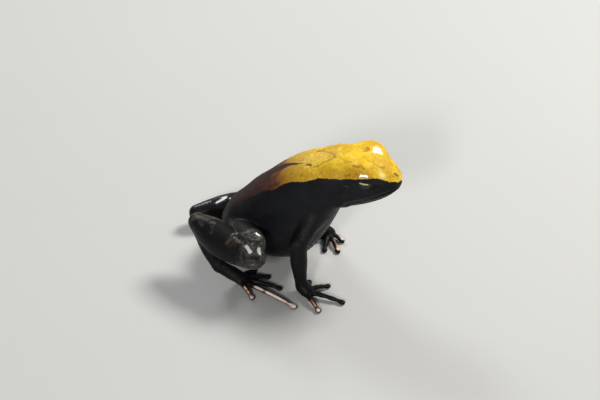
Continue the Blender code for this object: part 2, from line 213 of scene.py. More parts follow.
def fused(first, second, blend):
    """The distance to two shapes joined, with the crease between them filled over a width of blend."""
    share = np.maximum(blend - np.abs(first - second), 0.0) / blend
    return np.minimum(first, second) - share * share * blend / 4


def head_point(back, out, up):
    """A place in the head's own frame: back from the snout, out from the middle, up from the mouth."""
    sin, cos = math.sin(HEAD_PITCH), math.cos(HEAD_PITCH)
    return SNOUT + np.array((-back * cos - up * sin, out, up * cos - back * sin))


def in_head(points):
    """Points in the head's own frame, as back, out and up."""
    sin, cos = math.sin(HEAD_PITCH), math.cos(HEAD_PITCH)
    x, y, z = (points - SNOUT).T
    return -x * cos - z * sin, y, z * cos - x * sin


class Rings:
    """The cross-sections of the head and trunk, one after another from the snout to the vent."""

    def __init__(self):
        rows = []
        level = CROWN_HEIGHT / (CROWN_HEIGHT + JAW_DEPTH)
        behind_snout = np.geomspace(SNOUT_RINGS[-1], HEAD_LENGTH, HEAD_RINGS)
        for back in np.concatenate([SNOUT_RINGS[:-1], behind_snout]):
            left = 1 - min(back / HEAD_LENGTH, 1.0)
            fullness = math.sqrt(1 - left**2)
            width = HEAD_HALF_WIDTH * (1 - left**SNOUT_BLUNTNESS) ** (1 / SNOUT_BLUNTNESS)
            crown = head_point(back, 0, CROWN_HEIGHT * fullness)
            jaw = head_point(back, 0, -JAW_DEPTH * fullness)
            rows.append((back, crown[0], crown[2], jaw[0], jaw[2], width, level, HEAD_TAPER))
        neck = (*rows[-1][1:5], HEAD_HALF_WIDTH, level)
        knots = [neck] + [(*back, *belly, width, share) for back, belly, width, share in TRUNK]
        along = distances([((k[0] + k[2]) / 2, (k[1] + k[3]) / 2) for k in knots])
        at = np.linspace(0, along[-1], TRUNK_RINGS)[1:]
        for place, row in zip(at, spline(along, knots, at)):
            taper = HEAD_TAPER + (TRUNK_TAPER - HEAD_TAPER) * min(place / along[-1] / TAPER_CHANGE, 1.0)
            rows.append((HEAD_LENGTH + place, *row, taper))
        rows = np.array(rows)
        back, belly = rows[:, 1:3], rows[:, 3:5]
        up = back - belly
        depth = np.linalg.norm(up, axis=1)
        self.along = rows[:, 0]
        self.up = up / depth[:, None]
        self.centre = back - self.up * (depth * rows[:, 6])[:, None]
        self.behind = np.stack([-self.up[:, 1], self.up[:, 0]], axis=1)
        self.sizes = np.stack([rows[:, 5], depth * rows[:, 6], depth * (1 - rows[:, 6]), rows[:, 7]], axis=1)

    def place(self, x, z):
        """For points of the middle plane: the place along the body, the height above the widest level,
        the ring's half width, its height above and below that level and its taper, and how far the
        point lies past either end."""
        flat = np.stack([x, z], axis=1)
        results = []
        for some in np.array_split(flat, max(1, len(flat) // BATCH)):
            past = (some[:, None, 0] - self.centre[:, 0]) * self.behind[:, 0]
            past += (some[:, None, 1] - self.centre[:, 1]) * self.behind[:, 1]
            i = np.clip((past > 0).sum(axis=1) - 1, 0, len(self.along) - 2)
            rows = np.arange(len(some))
            near, far = past[rows, i], past[rows, i + 1]
            share = np.clip(near / np.maximum(near - far, 1e-9), 0.0, 1.0)[:, None]
            centre = self.centre[i] * (1 - share) + self.centre[i + 1] * share
            up = self.up[i] * (1 - share) + self.up[i + 1] * share
            rise = ((some - centre) * up).sum(axis=1)
            along = self.along[i] * (1 - share[:, 0]) + self.along[i + 1] * share[:, 0]
            sizes = self.sizes[i] * (1 - share) + self.sizes[i + 1] * share
            beyond = np.maximum(-past[:, 0], past[:, -1])
            results.append(np.column_stack([along, rise, sizes, beyond]))
        return np.concatenate(results)

    def distance(self, out, placed):
        """Roughly how far points lie outside the head and trunk, from their places and their distance out."""
        along, rise, width, above, below, taper, beyond = placed
        high = np.maximum(rise, 0.0) / above
        lean = 1 - taper * np.minimum(high, 1.0)
        top = rounded_square(out / (width * lean), high, BACK_SQUARENESS)
        jaw = 1 - soft_step(MOUTH_LENGTH - JAW_FADE, MOUTH_LENGTH + JAW_FADE, along)
        inset = 1 - (1 - JAW_INSET) * jaw * soft_step(0.0, JAW_FADE, -rise)
        low = np.maximum(-rise, 0.0) / below
        under = rounded_square(out / (width * inset), low, BELLY_SQUARENESS)
        ratio = np.maximum(np.where(rise >= 0, top, under), 1e-3)
        reach = np.sqrt(out**2 + rise**2)
        return np.maximum(np.where(reach > 1e-6, reach * (1 - 1 / ratio), -width), beyond)


RINGS = Rings()


def limb_parts(side):
    """Each length of the limbs on one side: the line through its joints and middle, and its radii."""
    lengths = (
        ("upper_arm", SHOULDER, ELBOW, UPPER_ARM_BOW, UPPER_ARM_RADII),
        ("forearm", ELBOW, WRIST, FOREARM_BOW, FOREARM_RADII),
        ("thigh", HIP, THIGH_END, THIGH_BOW, THIGH_RADII),
        ("shank", SHANK_START, HEEL, SHANK_BOW[side], SHANK_RADII[side]),
        ("tarsus", HEEL, ANKLE, TARSUS_BOW, TARSUS_RADII),
    )
    parts = {}
    for name, start, end, (ahead, out, up), radii in lengths:
        bow = (ahead, side * out, up)
        middle = tuple((a + b) / 2 + c for a, b, c in zip(start[side], end[side], bow))
        parts[name] = ((start[side], middle, end[side]), radii)
    return parts


def rounded_path(path, radii, count=PATH_POINTS):
    """Centres and radii along a smooth path."""
    along = distances(path)
    at = np.linspace(0.0, along[-1], count)
    sizes = spline(np.linspace(0.0, along[-1], len(radii)), np.reshape(radii, (-1, 1)), at)[:, 0]
    return spline(along, path, at), sizes


def extremity_parts(base, palm, tips):
    """The pad of a hand or foot, then each of its digits, as centres and radii."""
    base, palm = np.array(base), np.array(palm)
    pad = rounded_path((base, (base + palm) / 2, palm), PALM_RADII, PALM_POINTS)
    heading = (palm - base) * (1, 1, 0)
    heading /= np.linalg.norm(heading)
    spread = np.cross(UPRIGHT[2], heading) * (1 if base[1] < 0 else -1)
    share = np.linspace(0, 1, DIGIT_POINTS)
    knuckles = KNUCKLE_SWELL * sum(bump(share - place, width) for place, width in KNUCKLES)
    digits = []
    for i, tip in enumerate(tips):
        offset = (i - (len(tips) - 1) / 2) / len(tips) * DIGIT_FAN
        start = palm - spread * offset - heading * DIGIT_ROOT
        start[2] = min(palm[2], ROOT_HEIGHT)
        end = np.array((*tip, PAD_RADII[2] * PAD_PRESS))
        middle = (start + end) / 2 + UPRIGHT[2] * DIGIT_ARCH
        centres, sizes = rounded_path((start, middle, end), DIGIT_THICKNESS, DIGIT_POINTS)
        digits.append((centres, DIGIT_RADIUS * (sizes + knuckles)))
    return pad, digits


def hand_parts(side):
    """The pad and the fingers of one hand."""
    x, y, _ = WRIST[side]
    palm = (x + PALM_REACH[0], y + side * PALM_REACH[1], PALM_HEIGHT)
    return extremity_parts(WRIST[side], palm, FINGER_TIPS[side])


def foot_parts(side):
    """The pad and the toes of one foot."""
    return extremity_parts(ANKLE[side], FOOT_END[side], TOE_TIPS[side])


def path_distance(points, centres, radii):
    """For each point: its distance outside a rounded path, and how far along it the nearest place is."""
    best = np.full(len(points), FAR)
    share = np.zeros(len(points))
    for i, (start, end) in enumerate(zip(centres, centres[1:])):
        line = end - start
        t = np.clip((points - start) @ line / (line @ line), 0.0, 1.0)
        gap = np.linalg.norm(points - start - t[:, None] * line, axis=1)
        gap -= radii[i] + t * (radii[i + 1] - radii[i])
        nearer = gap < best
        best[nearer] = gap[nearer]
        share[nearer] = (i + t[nearer]) / (len(centres) - 1)
    return best, share


class Clay:
    """A block of space sampled every CELL, holding the distance to a surface, negative inside it."""

    def __init__(self, first, shape):
        self.first, self.shape = first, shape
        self.values = np.full(shape, FAR, np.float32)

    @classmethod
    def between(cls, low, high):
        """An empty block between two corners."""
        first = np.floor(np.array(low) / CELL).astype(int)
        return cls(first, np.ceil(np.array(high) / CELL).astype(int) - first + 1)

    def near(self, low, high):
        """The samples between two corners: their slices, and their x, y and z."""
        start = np.clip(np.floor(np.array(low) / CELL).astype(int) - self.first, 0, self.shape)
        stop = np.clip(np.ceil(np.array(high) / CELL).astype(int) - self.first + 1, 0, self.shape)
        axes = [(np.arange(a, b) + f).astype(np.float32) * CELL for a, b, f in zip(start, stop, self.first)]
        slices = tuple(slice(a, b) for a, b in zip(start, stop))
        return slices, axes[0][:, None, None], axes[1][None, :, None], axes[2][None, None, :]

    def add_path(self, centres, radii, blend):
        """Fuses a rounded path on."""
        reach = radii.max() + PATH_MARGIN
        whole, *_ = self.near(centres.min(axis=0) - reach, centres.max(axis=0) + reach)
        first = self.first + [s.start for s in whole]
        made = Clay(first, np.array([s.stop - s.start for s in whole]))
        for i, (start, end) in enumerate(zip(centres, centres[1:])):
            reach = max(radii[i], radii[i + 1]) + PATH_MARGIN
            part, x, y, z = made.near(np.minimum(start, end) - reach, np.maximum(start, end) + reach)
            line = end - start
            x, y, z = x - start[0], y - start[1], z - start[2]
            t = np.clip((x * line[0] + y * line[1] + z * line[2]) / (line @ line), 0.0, 1.0)
            gap = (x - t * line[0]) ** 2 + (y - t * line[1]) ** 2 + (z - t * line[2]) ** 2
            gap = np.sqrt(gap) - radii[i] - t * (radii[i + 1] - radii[i])
            made.values[part] = np.minimum(made.values[part], gap)
        self.values[whole] = fused(self.values[whole], made.values, blend)

    def add_ellipsoid(self, centre, axes, radii, blend):
        """Fuses on an ellipsoid whose radii lie along three given directions."""
        reach = max(radii) + BALL_MARGIN
        part, x, y, z = self.near(np.array(centre) - reach, np.array(centre) + reach)
        near, far = 0.0, 0.0
        for axis, radius in zip(axes, radii):
            along = (x - centre[0]) * axis[0] + (y - centre[1]) * axis[1] + (z - centre[2]) * axis[2]
            near = near + (along / radius) ** 2
            far = far + (along / radius**2) ** 2
        near, far = np.sqrt(near), np.sqrt(far)
        gap = np.where(far > 1e-6, near * (near - 1) / np.maximum(far, 1e-6), -min(radii))
        self.values[part] = fused(self.values[part], gap.astype(np.float32), blend)

    def add(self, other, blend, root, reach, wide):
        """Fuses another block's surface on, with a wider blend within reach of its root."""
        low = other.first * CELL
        part, x, y, z = self.near(low + CELL / 2, low + (other.shape - 1.5) * CELL)
        start = self.first + [s.start for s in part] - other.first
        size = [s.stop - s.start for s in part]
        values = other.values[tuple(slice(a, a + b) for a, b in zip(start, size))]
        apart = (x - root[0]) ** 2 + (y - root[1]) ** 2 + (z - root[2]) ** 2
        widths = np.maximum(blend, wide * np.exp(-apart / reach**2))
        self.values[part] = fused(self.values[part], values, widths)

    def surface(self):
        """The points and quads of the surface where the distance passes zero."""
        field = self.values
        inside = field < 0
        cells = np.array(field.shape) - 1
        count = np.zeros(cells, np.int8)
        for a, b, c in product((0, 1), repeat=3):
            count += inside[a : a + cells[0], b : b + cells[1], c : c + cells[2]]
        active = np.argwhere((count > 0) & (count < 8))
        number = np.full(cells, -1, np.int32)
        number[tuple(active.T)] = np.arange(len(active))
        total, crossings = np.zeros((len(active), 3)), np.zeros(len(active))
        for axis in range(3):
            others = [i for i in range(3) if i != axis]
            for shift in product((0, 1), repeat=2):
                start = active.copy()
                start[:, others] += shift
                end = start.copy()
                end[:, axis] += 1
                first, last = field[tuple(start.T)], field[tuple(end.T)]
                crossed = (first < 0) != (last < 0)
                share = first[crossed] / (first[crossed] - last[crossed])
                total[crossed] += start[crossed] + (end - start)[crossed] * share[:, None]
                crossings[crossed] += 1
        points = (total / crossings[:, None] + self.first) * CELL
        quads = []
        for axis in range(3):
            low = inside[tuple(slice(0, -1) if i == axis else slice(None) for i in range(3))]
            high = inside[tuple(slice(1, None) if i == axis else slice(None) for i in range(3))]
            edges = np.argwhere(low != high)
            first, second = np.eye(3, dtype=int)[(axis + 1) % 3], np.eye(3, dtype=int)[(axis + 2) % 3]
            corners = [edges, edges - first, edges - first - second, edges - second]
            quad = np.stack([number[tuple(c.T)] for c in corners], axis=1)
            outward = low[tuple(edges.T)]
            quads.append(np.where(outward[:, None], quad, quad[:, ::-1]))
        return points, np.concatenate(quads)


# A limb: its lengths, each with the blend onto what is before it, the hand or foot and its tips, the room
# round its block, its blend onto the trunk, and its root with the reach and width of the wider blend there.
ARM = ({"upper_arm": 0.3, "forearm": 0.55}, hand_parts, FINGER_TIPS, 2.6, 0.35, (SHOULDER, 2.4, 1.5))
LEG = ({"thigh": 0.3, "shank": 0.3, "tarsus": 0.3}, foot_parts, TOE_TIPS, 3.2, 0.25, (HIP, 3.0, 1.8))


def modelled_body():
    """The whole frog as clay: head and trunk in one, with the lids, and then each arm and leg."""
    clay = Clay.between(BODY_LOW, BODY_HIGH)
    part, x, y, z = clay.near(TRUNK_LOW, TRUNK_HIGH)
    flat_x, flat_z = (a.ravel() for a in np.broadcast_arrays(x[:, 0, :], z[0, :, :].reshape(1, -1)))
    placed = RINGS.place(flat_x, flat_z).T.reshape(-1, x.shape[0], 1, z.shape[2])
    gap = RINGS.distance(np.abs(y), placed)
    slope = np.sqrt(sum(g**2 for g in np.gradient(gap, CELL)))
    clay.values[part] = gap / np.maximum(slope, 1.0)
    for side in (RIGHT, LEFT):
        lid = head_point(LID_CENTRE[0], side * LID_CENTRE[1], LID_CENTRE[2])
        clay.add_ellipsoid(lid, HEAD_AXES, LID_RADII, LID_BLEND)
        add_limb(clay, side, *ARM)
        add_limb(clay, side, *LEG)
    part, _, _, z = clay.near(BODY_LOW, (*BODY_HIGH[:2], FLOOR_REACH))
    clay.values[part] = -fused(-clay.values[part], z, FLOOR_BLEND)
    return clay


def add_limb(clay, side, lengths, extremity, tips, room, blend, root):
    """Fuses on a limb of one side."""
    parts = {name: limb_parts(side)[name] for name in lengths}
    corners = [path[i] for path, _ in parts.values() for i in (0, -1)]
    corners = np.array(corners + [(*tip, 0.0) for tip in tips[side]])
    limb = Clay.between(corners.min(axis=0) - room, corners.max(axis=0) + room)
    for name, part in parts.items():
        limb.add_path(*rounded_path(*part), lengths[name])
    pad, digits = extremity(side)
    limb.add_path(*pad, PALM_BLEND)
    for centres, radii in digits:
        limb.add_path(centres, radii, DIGIT_BLEND)
        ahead = (centres[-1] - centres[-4]) * (1, 1, 0)
        ahead /= np.linalg.norm(ahead)
        axes = (ahead, np.cross(UPRIGHT[2], ahead), UPRIGHT[2])
        limb.add_ellipsoid(centres[-1], axes, PAD_RADII, PAD_BLEND)
    joint, reach, width = root
    clay.add(limb, blend, joint[side], reach, width)


def relaxed(points, edges, rounds, amount, weight=1.0):
    """Evens out small bumps without shrinking the shape."""
    start, end = np.concatenate([edges, edges[:, ::-1]]).T
    degree = np.bincount(start, minlength=len(points))[:, None]
    for _ in range(rounds):
        for factor in (amount, -UNSHRINK * amount):
            sums = np.stack([np.bincount(start, points[end, k], len(points)) for k in range(3)], axis=1)
            points = points + factor * weight * (sums / degree - points)
    return points


# ---------------------------------------------------------------- fine relief of the skin


HASH_STEPS = (73856093, 19349663, 83492791, 6542989)  # large odd numbers that mix whole numbers well
HASH_MIXERS = (1274126177, 668265263)
INNER = 0.6  # the middle part of a cell, where its grain's own middle may lie
GRAIN_REACH = 0.75  # square of a grain's radius, in cells


def scatter(cells, seed):
    """A fixed random number from 0 to 1 for each whole-numbered cell."""
    n = seed * HASH_STEPS[3]
    for axis in range(3):
        n = n ^ cells[..., axis] * HASH_STEPS[axis]
    n = (n ^ (n >> 13)) * HASH_MIXERS[0] & 0x7FFFFFFF
    n = (n ^ (n >> 16)) * HASH_MIXERS[1] & 0x7FFFFFFF
    return (n >> 8 & 0xFFFF) / 0xFFFF


def ripple(points, size, seed):
    """Smooth random values from -1 to 1 that change over a distance of size."""
    scaled = points / size
    cells = np.floor(scaled).astype(np.int64)
    part = scaled - cells
    part = part * part * (3 - 2 * part)
    total = 0.0
    for corner in product((0, 1), repeat=3):
        weight = np.prod(np.where(corner, part, 1 - part), axis=1)
        total = total + weight * scatter(cells + np.array(corner), seed)
    return total * 2 - 1


def grains(points, size, seed):
    """Rounded grains packed side by side: 1 at the middle of each and near 0 between them."""
    scaled = points / size
    cells = np.floor(scaled).astype(np.int64)
    nearest = np.full(len(points), FAR)
    for shift in product((-1, 0, 1), repeat=3):
        cell = cells + np.array(shift)
        inside = np.stack([scatter(cell, seed + k) for k in range(3)], axis=1)
        middle = cell + (1 - INNER) / 2 + INNER * inside
        nearest = np.minimum(nearest, ((scaled - middle) ** 2).sum(axis=1))
    return np.clip(1 - nearest / GRAIN_REACH, 0.0, 1.0)


def line_distance(points, path):
    """Distance of points from a line through a few places."""
    centres, radii = rounded_path(path, (0.0, 0.0, 0.0), LINE_POINTS)
    return path_distance(points, centres, radii)


MOUTH_LINE = (  # back from the snout, and height
    (0.0, -0.08), (0.7, 0.05), (1.3, 0.2), (2.0, 0.3), (3.4, 0.27), (4.6, 0.18),
    (5.9, 0.06), (6.8, -0.2), (7.4, -0.5),
)
MOUTH_POINTS = 60


def mouth_level(back):
    """Height of the line of the mouth, which arches under the eye and turns down at its corner."""
    backs, ups = np.array(MOUTH_LINE).T
    places = np.linspace(0.0, backs[-1], MOUTH_POINTS)
    smooth = spline(backs, ups[:, None], places)[:, 0]
    return np.interp(back, places, smooth)


class Eye:
    """An eye's centre, the directions of its gaze, and the shape of the opening between its lids."""

    turn = -0.24  # how far the gaze turns back from straight out, or towards the snout below 0
    roll = math.radians(21)  # how far the front corner of the lids is turned down
    corner, upper, lower = math.radians(44), math.radians(25), math.radians(21)

    def __init__(self, side):
        self.centre = head_point(EYE[0], side * EYE[1], EYE[2])
        gaze = HEAD_AXES[0] * self.turn + HEAD_AXES[1] * side
        self.gaze = gaze / np.linalg.norm(gaze)
        back = HEAD_AXES[0] - self.gaze * (HEAD_AXES[0] @ self.gaze)
        self.back = back / np.linalg.norm(back)
        self.up = np.cross(self.gaze, self.back) * side
        sin, cos = math.sin(self.roll), math.cos(self.roll)
        self.back, self.up = self.back * cos + self.up * sin, self.up * cos - self.back * sin

    def view(self, points):
        """Distance from the eye's centre, and the direction as angles back and up from the gaze."""
        offset = points - self.centre
        reach = np.linalg.norm(offset, axis=1)
        front = offset @ self.gaze
        return reach, np.arctan2(offset @ self.back, front), np.arctan2(offset @ self.up, front)

    def opening(self, points):
        """How far from the gaze points lie, 1 on the edge of the lids, and how far from the eye's centre."""
        reach, back, up = self.view(points)
        lid = np.where(up > 0, self.upper, self.lower)
        return np.sqrt((back / self.corner) ** 2 + (up / lid) ** 2), reach


EYES = {side: Eye(side) for side in (RIGHT, LEFT)}


LID_THICKNESS = (0.17, 0.12)  # upper and lower
LID_ROLL = (1.12, 1.75)  # the lids thin out into the skin between these openings
LID_EDGE = (0.93, 1.1)  # and turn in to the socket between these
SOCKET_DEPTH = 0.12  # how far below the eye's surface the skin runs in
SOCKET_REACH = 2.2  # radii of the eye within which the skin is shaped
SOCKET_BACK = -0.2  # and how far along the gaze, from the middle of the eye, this begins


def shaped_lids(points):
    """Draws the skin down into the sockets, and gives each eye a rim of soft lid."""
    made = points.copy()
    for eye in EYES.values():
        near = np.linalg.norm(points - eye.centre, axis=1) < EYE_RADIUS * SOCKET_REACH
        some = points[near]
        opening, reach = eye.opening(some)
        _, _, up = eye.view(some)
        rim = EYE_RADIUS + np.where(up > 0, *LID_THICKNESS)
        socket = EYE_RADIUS - SOCKET_DEPTH
        target = rim + (np.maximum(reach, rim) - rim) * soft_step(*LID_ROLL, opening)
        target = np.where(opening < LID_ROLL[1], target, reach)
        target = socket + (target - socket) * soft_step(*LID_EDGE, opening)
        facing = (some - eye.centre) @ eye.gaze > SOCKET_BACK
        target = np.where(facing, target, reach)
        made[near] = eye.centre + (some - eye.centre) * (target / reach)[:, None]
    return made


NOSTRIL_SLOT = ((0.45, 0.66, 1.72), (0.17, 0.42, 1.1))
MOUTH_FORMS = ((0.0, -0.15, 0.075), (0.22, 0.07, 0.13), (-0.2, 0.04, 0.12))  # above the line, height, width
MOUTH_CORNER = (6.1, 6.9)  # back from the snout, where these forms fade
FACE_FORMS = (  # a line on the side of the head, as back, out and up, and the ridges and grooves along it:
    # how far beside the line each lies, its height, which is below 0 for a groove, and its width
    (NOSTRIL_SLOT, (0.0, -0.18, 0.11), (0.25, 0.05, 0.09)),  # nostril
    (((2.6, 3.1, 2.95), (3.4, 3.5, 3.25), (4.6, 3.58, 3.3)), (0.0, 0.15, 0.35)),  # brow
    (((0.6, 0.9, 1.75), (1.5, 1.75, 2.2), (2.5, 2.5, 2.6)), (0.0, 0.07, 0.28)),  # canthus
    (((1.0, 1.7, 0.95), (1.8, 2.45, 1.15), (2.6, 3.0, 1.2)), (0.0, -0.13, 0.42)),  # hollow below it
    (((5.1, 3.6, 2.95), (6.3, 3.9, 2.75), (7.4, 4.1, 1.9), (7.9, 4.1, 0.9)), (0.0, 0.09, 0.17)),  # fold
    (((5.3, 3.7, 2.65), (6.3, 4.0, 2.48), (7.15, 4.1, 1.75), (7.6, 4.1, 0.8)), (0.0, -0.05, 0.11)),  # crease
    (((6.3, 3.9, -0.35), (6.9, 4.0, -0.5), (7.5, 4.0, -0.9)), (0.0, -0.08, 0.16), (0.35, 0.05, 0.2)),  # mouth
)
EARDRUM_RIM, EARDRUM_MIDDLE = (0.06, 0.09), (0.035, 0.22)  # height and width
EARDRUM_DEPTH, EARDRUM_DISH = 0.07, (0.3, 0.68)  # the radii between which it rises to its rim
SIDE_OF_HEAD = (2.6, 3.2)  # how far out the eardrum's relief begins and is full


def side_places(points):
    """Points in the head's own frame, with both sides of the head as one."""
    back, out, up = in_head(points)
    return np.stack([back, np.abs(out), up], axis=1)


def face_relief(points):
    """Height added to the skin of the head: mouth, lips, nostrils, brow, eardrum and folds."""
    places = side_places(points)
    back, out, up = places.T
    level = up - mouth_level(back)
    front = 1 - soft_step(*MOUTH_CORNER, back)
    height = np.zeros(len(points))
    for above, rise, width in MOUTH_FORMS:
        height += rise * bump(level - above, width) * front
    for line, *forms in FACE_FORMS:
        gap, _ = line_distance(places, line)
        for beside, rise, width in forms:
            height += rise * bump(gap - beside, width)
    drum = np.hypot(back - EARDRUM[0], up - EARDRUM[2])
    rim = EARDRUM_RIM[0] * bump(drum - EARDRUM_RADIUS, EARDRUM_RIM[1])
    middle = EARDRUM_MIDDLE[0] * bump(drum, EARDRUM_MIDDLE[1])
    dish = EARDRUM_DEPTH * (1 - soft_step(*EARDRUM_DISH, drum))
    return height + (rim + middle - dish) * soft_step(*SIDE_OF_HEAD, out)


# ---------------------------------------------------------------- relief of the right leg, and wet flats


KNEE = (-17.1, -8.5, 8.4)
KNEE_FOLD = (
    (-18.1, -9.65, 7.6), (-17.17, -9.67, 7.83), (-16.55, -9.59, 7.71), (-16.11, -9.25, 7.67),
    (-15.7, -8.7, 7.9),
)
KNEE_FORMS = ((0.6, 0.07, 0.35), (0.0, -0.2, 0.24))  # beside the fold, height, width
KNEE_REACH = 4.0
CALF_FACING = (-0.145, 0.626, 0.766)
CALF_FORM = (0.72, 0.22, 0.18)  # share of the shank, height, width
CALF_SIDE, CALF_EDGE = (0.35, 0.85), (0.1, 0.5)  # it fades as the skin turns away, and beyond the shank
KNEE_FACING = (0.073, -0.790, 0.608)
LID_FACING = (0.026, -0.816, 0.577)
SKYWARD = (0.42, -0.16, 0.90)
BACKWARD_UP = (-0.262, -0.094, 0.960)
FLATS = (  # small flats of wet skin: which way each faces, its half width and the line it lies along
    (KNEE_FACING, 0.42, (-17.8, -9.32, 9.12), (-17.5, -9.45, 8.87), (-17.28, -9.58, 8.62)),
    (KNEE_FACING, 0.38, (-16.3, -9.19, 9.0), (-16.21, -9.33, 8.74), (-16.16, -9.37, 8.5)),
    (SKYWARD, 0.22, (-16.9, -7.75, 10.23), (-16.75, -7.85, 10.17), (-16.55, -7.95, 10.07)),
    (LID_FACING, 0.18, (-4.65, -3.53, 18.28), (-4.2, -3.48, 18.37), (-3.75, -3.44, 18.35)),
    (SKYWARD, 0.37, (-3.7, 1.12, 18.98), (-3.37, 1.2, 18.88), (-3.0, 1.22, 18.68)),
    (BACKWARD_UP, 0.4, (-24.43, 4.95, 4.2), (-24.87, 4.5, 4.14), (-25.46, 4.12, 4.04)),
)
FLATNESS = 0.9  # 1 would level a flat fully
LEAST_SLOPE = 0.3  # skin that faces further away than this isn't levelled
FLAT_EDGE, WET_EDGE = (0.5, 2.0), (1.0, 2.2)  # half widths from the line between which each fades


def flat_relief(points, normals):
    """Height added to the skin so that it lies flat at its wet spots."""
    height = np.zeros(len(points))
    for facing, half, *line in FLATS:
        direction = np.array(facing) / np.linalg.norm(facing)
        gap, _ = line_distance(points, line)
        slope = normals @ direction
        share = (1 - soft_step(*FLAT_EDGE, gap / half)) * (slope > LEAST_SLOPE)
        above = (points - np.mean(line, axis=0)) @ direction
        height -= FLATNESS * share * above / np.maximum(slope, LEAST_SLOPE)
    return height


def wetness(points):
    """1 on the wet flats, fading to 0 beside them."""
    wet = np.zeros(len(points))
    for _, half, *line in FLATS:
        gap, _ = line_distance(points, line)
        wet = np.maximum(wet, 1 - soft_step(*WET_EDGE, gap / half))
    return wet


def leg_relief(points, normals):
    """Height added to the skin of the right leg: the fold of the knee, and the fuller calf."""
    height = np.zeros(len(points))
    near = np.linalg.norm(points - KNEE, axis=1) < KNEE_REACH
    fold, _ = line_distance(points[near], KNEE_FOLD)
    height[near] = sum(rise * bump(fold - beside, width) for beside, rise, width in KNEE_FORMS)
    path, radii = limb_parts(RIGHT)["shank"]
    gap, share = path_distance(points, *rounded_path(path, radii))
    top = soft_step(*CALF_SIDE, normals @ CALF_FACING) * (1 - soft_step(*CALF_EDGE, gap))
    place, rise, width = CALF_FORM
    return height + rise * top * bump(share - place, width)


# ---------------------------------------------------------------- markings


GOLD_EDGE = (  # along the body, and degrees round it from the middle of the back
    (1.11, 58.1), (1.59, 54.0), (2.32, 51.7), (3.41, 53.5), (4.67, 54.2), (5.75, 53.4), (6.67, 53.9),
    (7.91, 51.7), (8.47, 49.2), (9.27, 45.7), (9.8, 46.8), (10.62, 45.5), (11.34, 44.9), (12.16, 40.6),
    (13.2, 36.0), (14.17, 33.7), (15.07, 33.1), (15.8, 33.5), (16.55, 32.6), (17.65, 27.5), (18.58, 24.6),
    (19.49, 25.1), (20.42, 23.4), (21.44, 22.6), (22.51, 20.0), (23.58, 19.9), (24.26, 20.1), (25.12, 23.3),
)
SNOUT_EDGE = (  # back from the snout, and up from the mouth
    (-0.3, 0.3), (0.0, 0.3), (0.05, 0.34), (0.44, 0.95), (1.12, 1.53), (1.59, 2.06), (2.31, 2.9),
)
STREAK_RIGHT = (  # along the body, and out to the left of its middle
    (11.36, -1.12), (11.96, -1.09), (12.62, -0.91), (13.31, -0.73), (13.97, -0.74), (14.66, -0.80),
    (15.4, -0.75), (16.21, -0.64), (16.97, -0.74), (17.24, -1.15), (18.4, -1.2), (20.0, -0.9), (24.0, -0.7),
)
STREAK_LEFT = (
    (11.36, -1.05), (11.83, -1.0), (12.51, -0.64), (13.25, -0.25), (14.23, 0.18), (15.32, 0.64),
    (16.06, 0.6), (17.13, 0.79), (18.5, 1.3), (20.5, 2.2), (24.0, 2.5),
)
STREAK_START = (10.9, 11.4)  # along the body
RUST_START, RUST_LENGTH = 8.0, 16.0  # along the body, from gold to the end of the back
LEFT_LAG = 1.6  # how much later the rust starts on the left
LEFT_SIDE, LAG_END = (-0.6, 1.6), (13.5, 15.0)  # where the lag sets in, out to the left, and ends, along it
LEFT_SNOUT, LEFT_OF_SNOUT = 0.6, (-0.3, 0.4)  # how much further down the gold comes there
SNOUT_SLANT = 0.8  # distance from the snout's edge for each millimetre of height
SNOUT_END = (1.2, 2.0)  # along the body, where the snout's edge goes over to the body's
EYE_SHADOW, EYE_SHADOW_WIDTH, EYE_SHADOW_REACH = 1.2, 0.1, 1.6  # how dark, how wide, and radii of the eye
# The pale line along the upper lip is a painted highlight on the wet edge of the lip: its height above the
# line of the mouth, its width, and where it fades in and out, back from the snout
LIP_HEIGHT, LIP_WIDTH, LIP_START, LIP_END = 0.12, 0.06, (0.6, 2.0), (6.4, 7.1)
FACE_END = (3.5, 7.0)  # back from the snout
NOSTRIL_WIDTH = 0.12
# the nostrils are painted dark as shade inside their openings; the left one's painted shade is weaker
LEFT_NOSTRIL = 0.3  # how pale it is beside the right one
BELLY_SIDE, BELLY_START = (118, 140), (11.5, 13.5)  # degrees from the middle of the back, and along the body
LIMB_EDGE, LIMB_CLEAR = (-0.25, 0.45), (0.3, 1.2)  # distance outside the trunk where a limb's colours begin
LIMB_DARKNESS = 2.5  # keeps the gold off the limbs
LIMB_FADE, DIGIT_FADE = (0.1, 0.6), (0.05, 0.3)  # distance outside a limb or digit where its marks fade
KNEE_END, HEEL_START, THIGH_PALE = (0.05, 0.3), (0.8, 0.93), (0.68, 0.85)  # shares of the length
WET_START, WET_SIDE, HEEL_SIDE = (0.1, 0.25), (0.5, 0.95), (-0.1, 0.5)  # share, and how far it faces up
PALENESS = {RIGHT: (1.0, 0.5, 0.8), LEFT: (0.7, 0.3, 0.8)}  # of the knee, the heel and the end of the thigh
WET_SHANK = {RIGHT: 0.0, LEFT: 0.3}
DIGIT_TIP = (0.88, 0.97)  # share of the length where a digit widens to its disc
PALE_LINE, PALE_DISC = (0.06, 0.3), (0.16, 0.42)  # distance from the ridge where the pale fades
RADIAN = 57.3  # in degrees
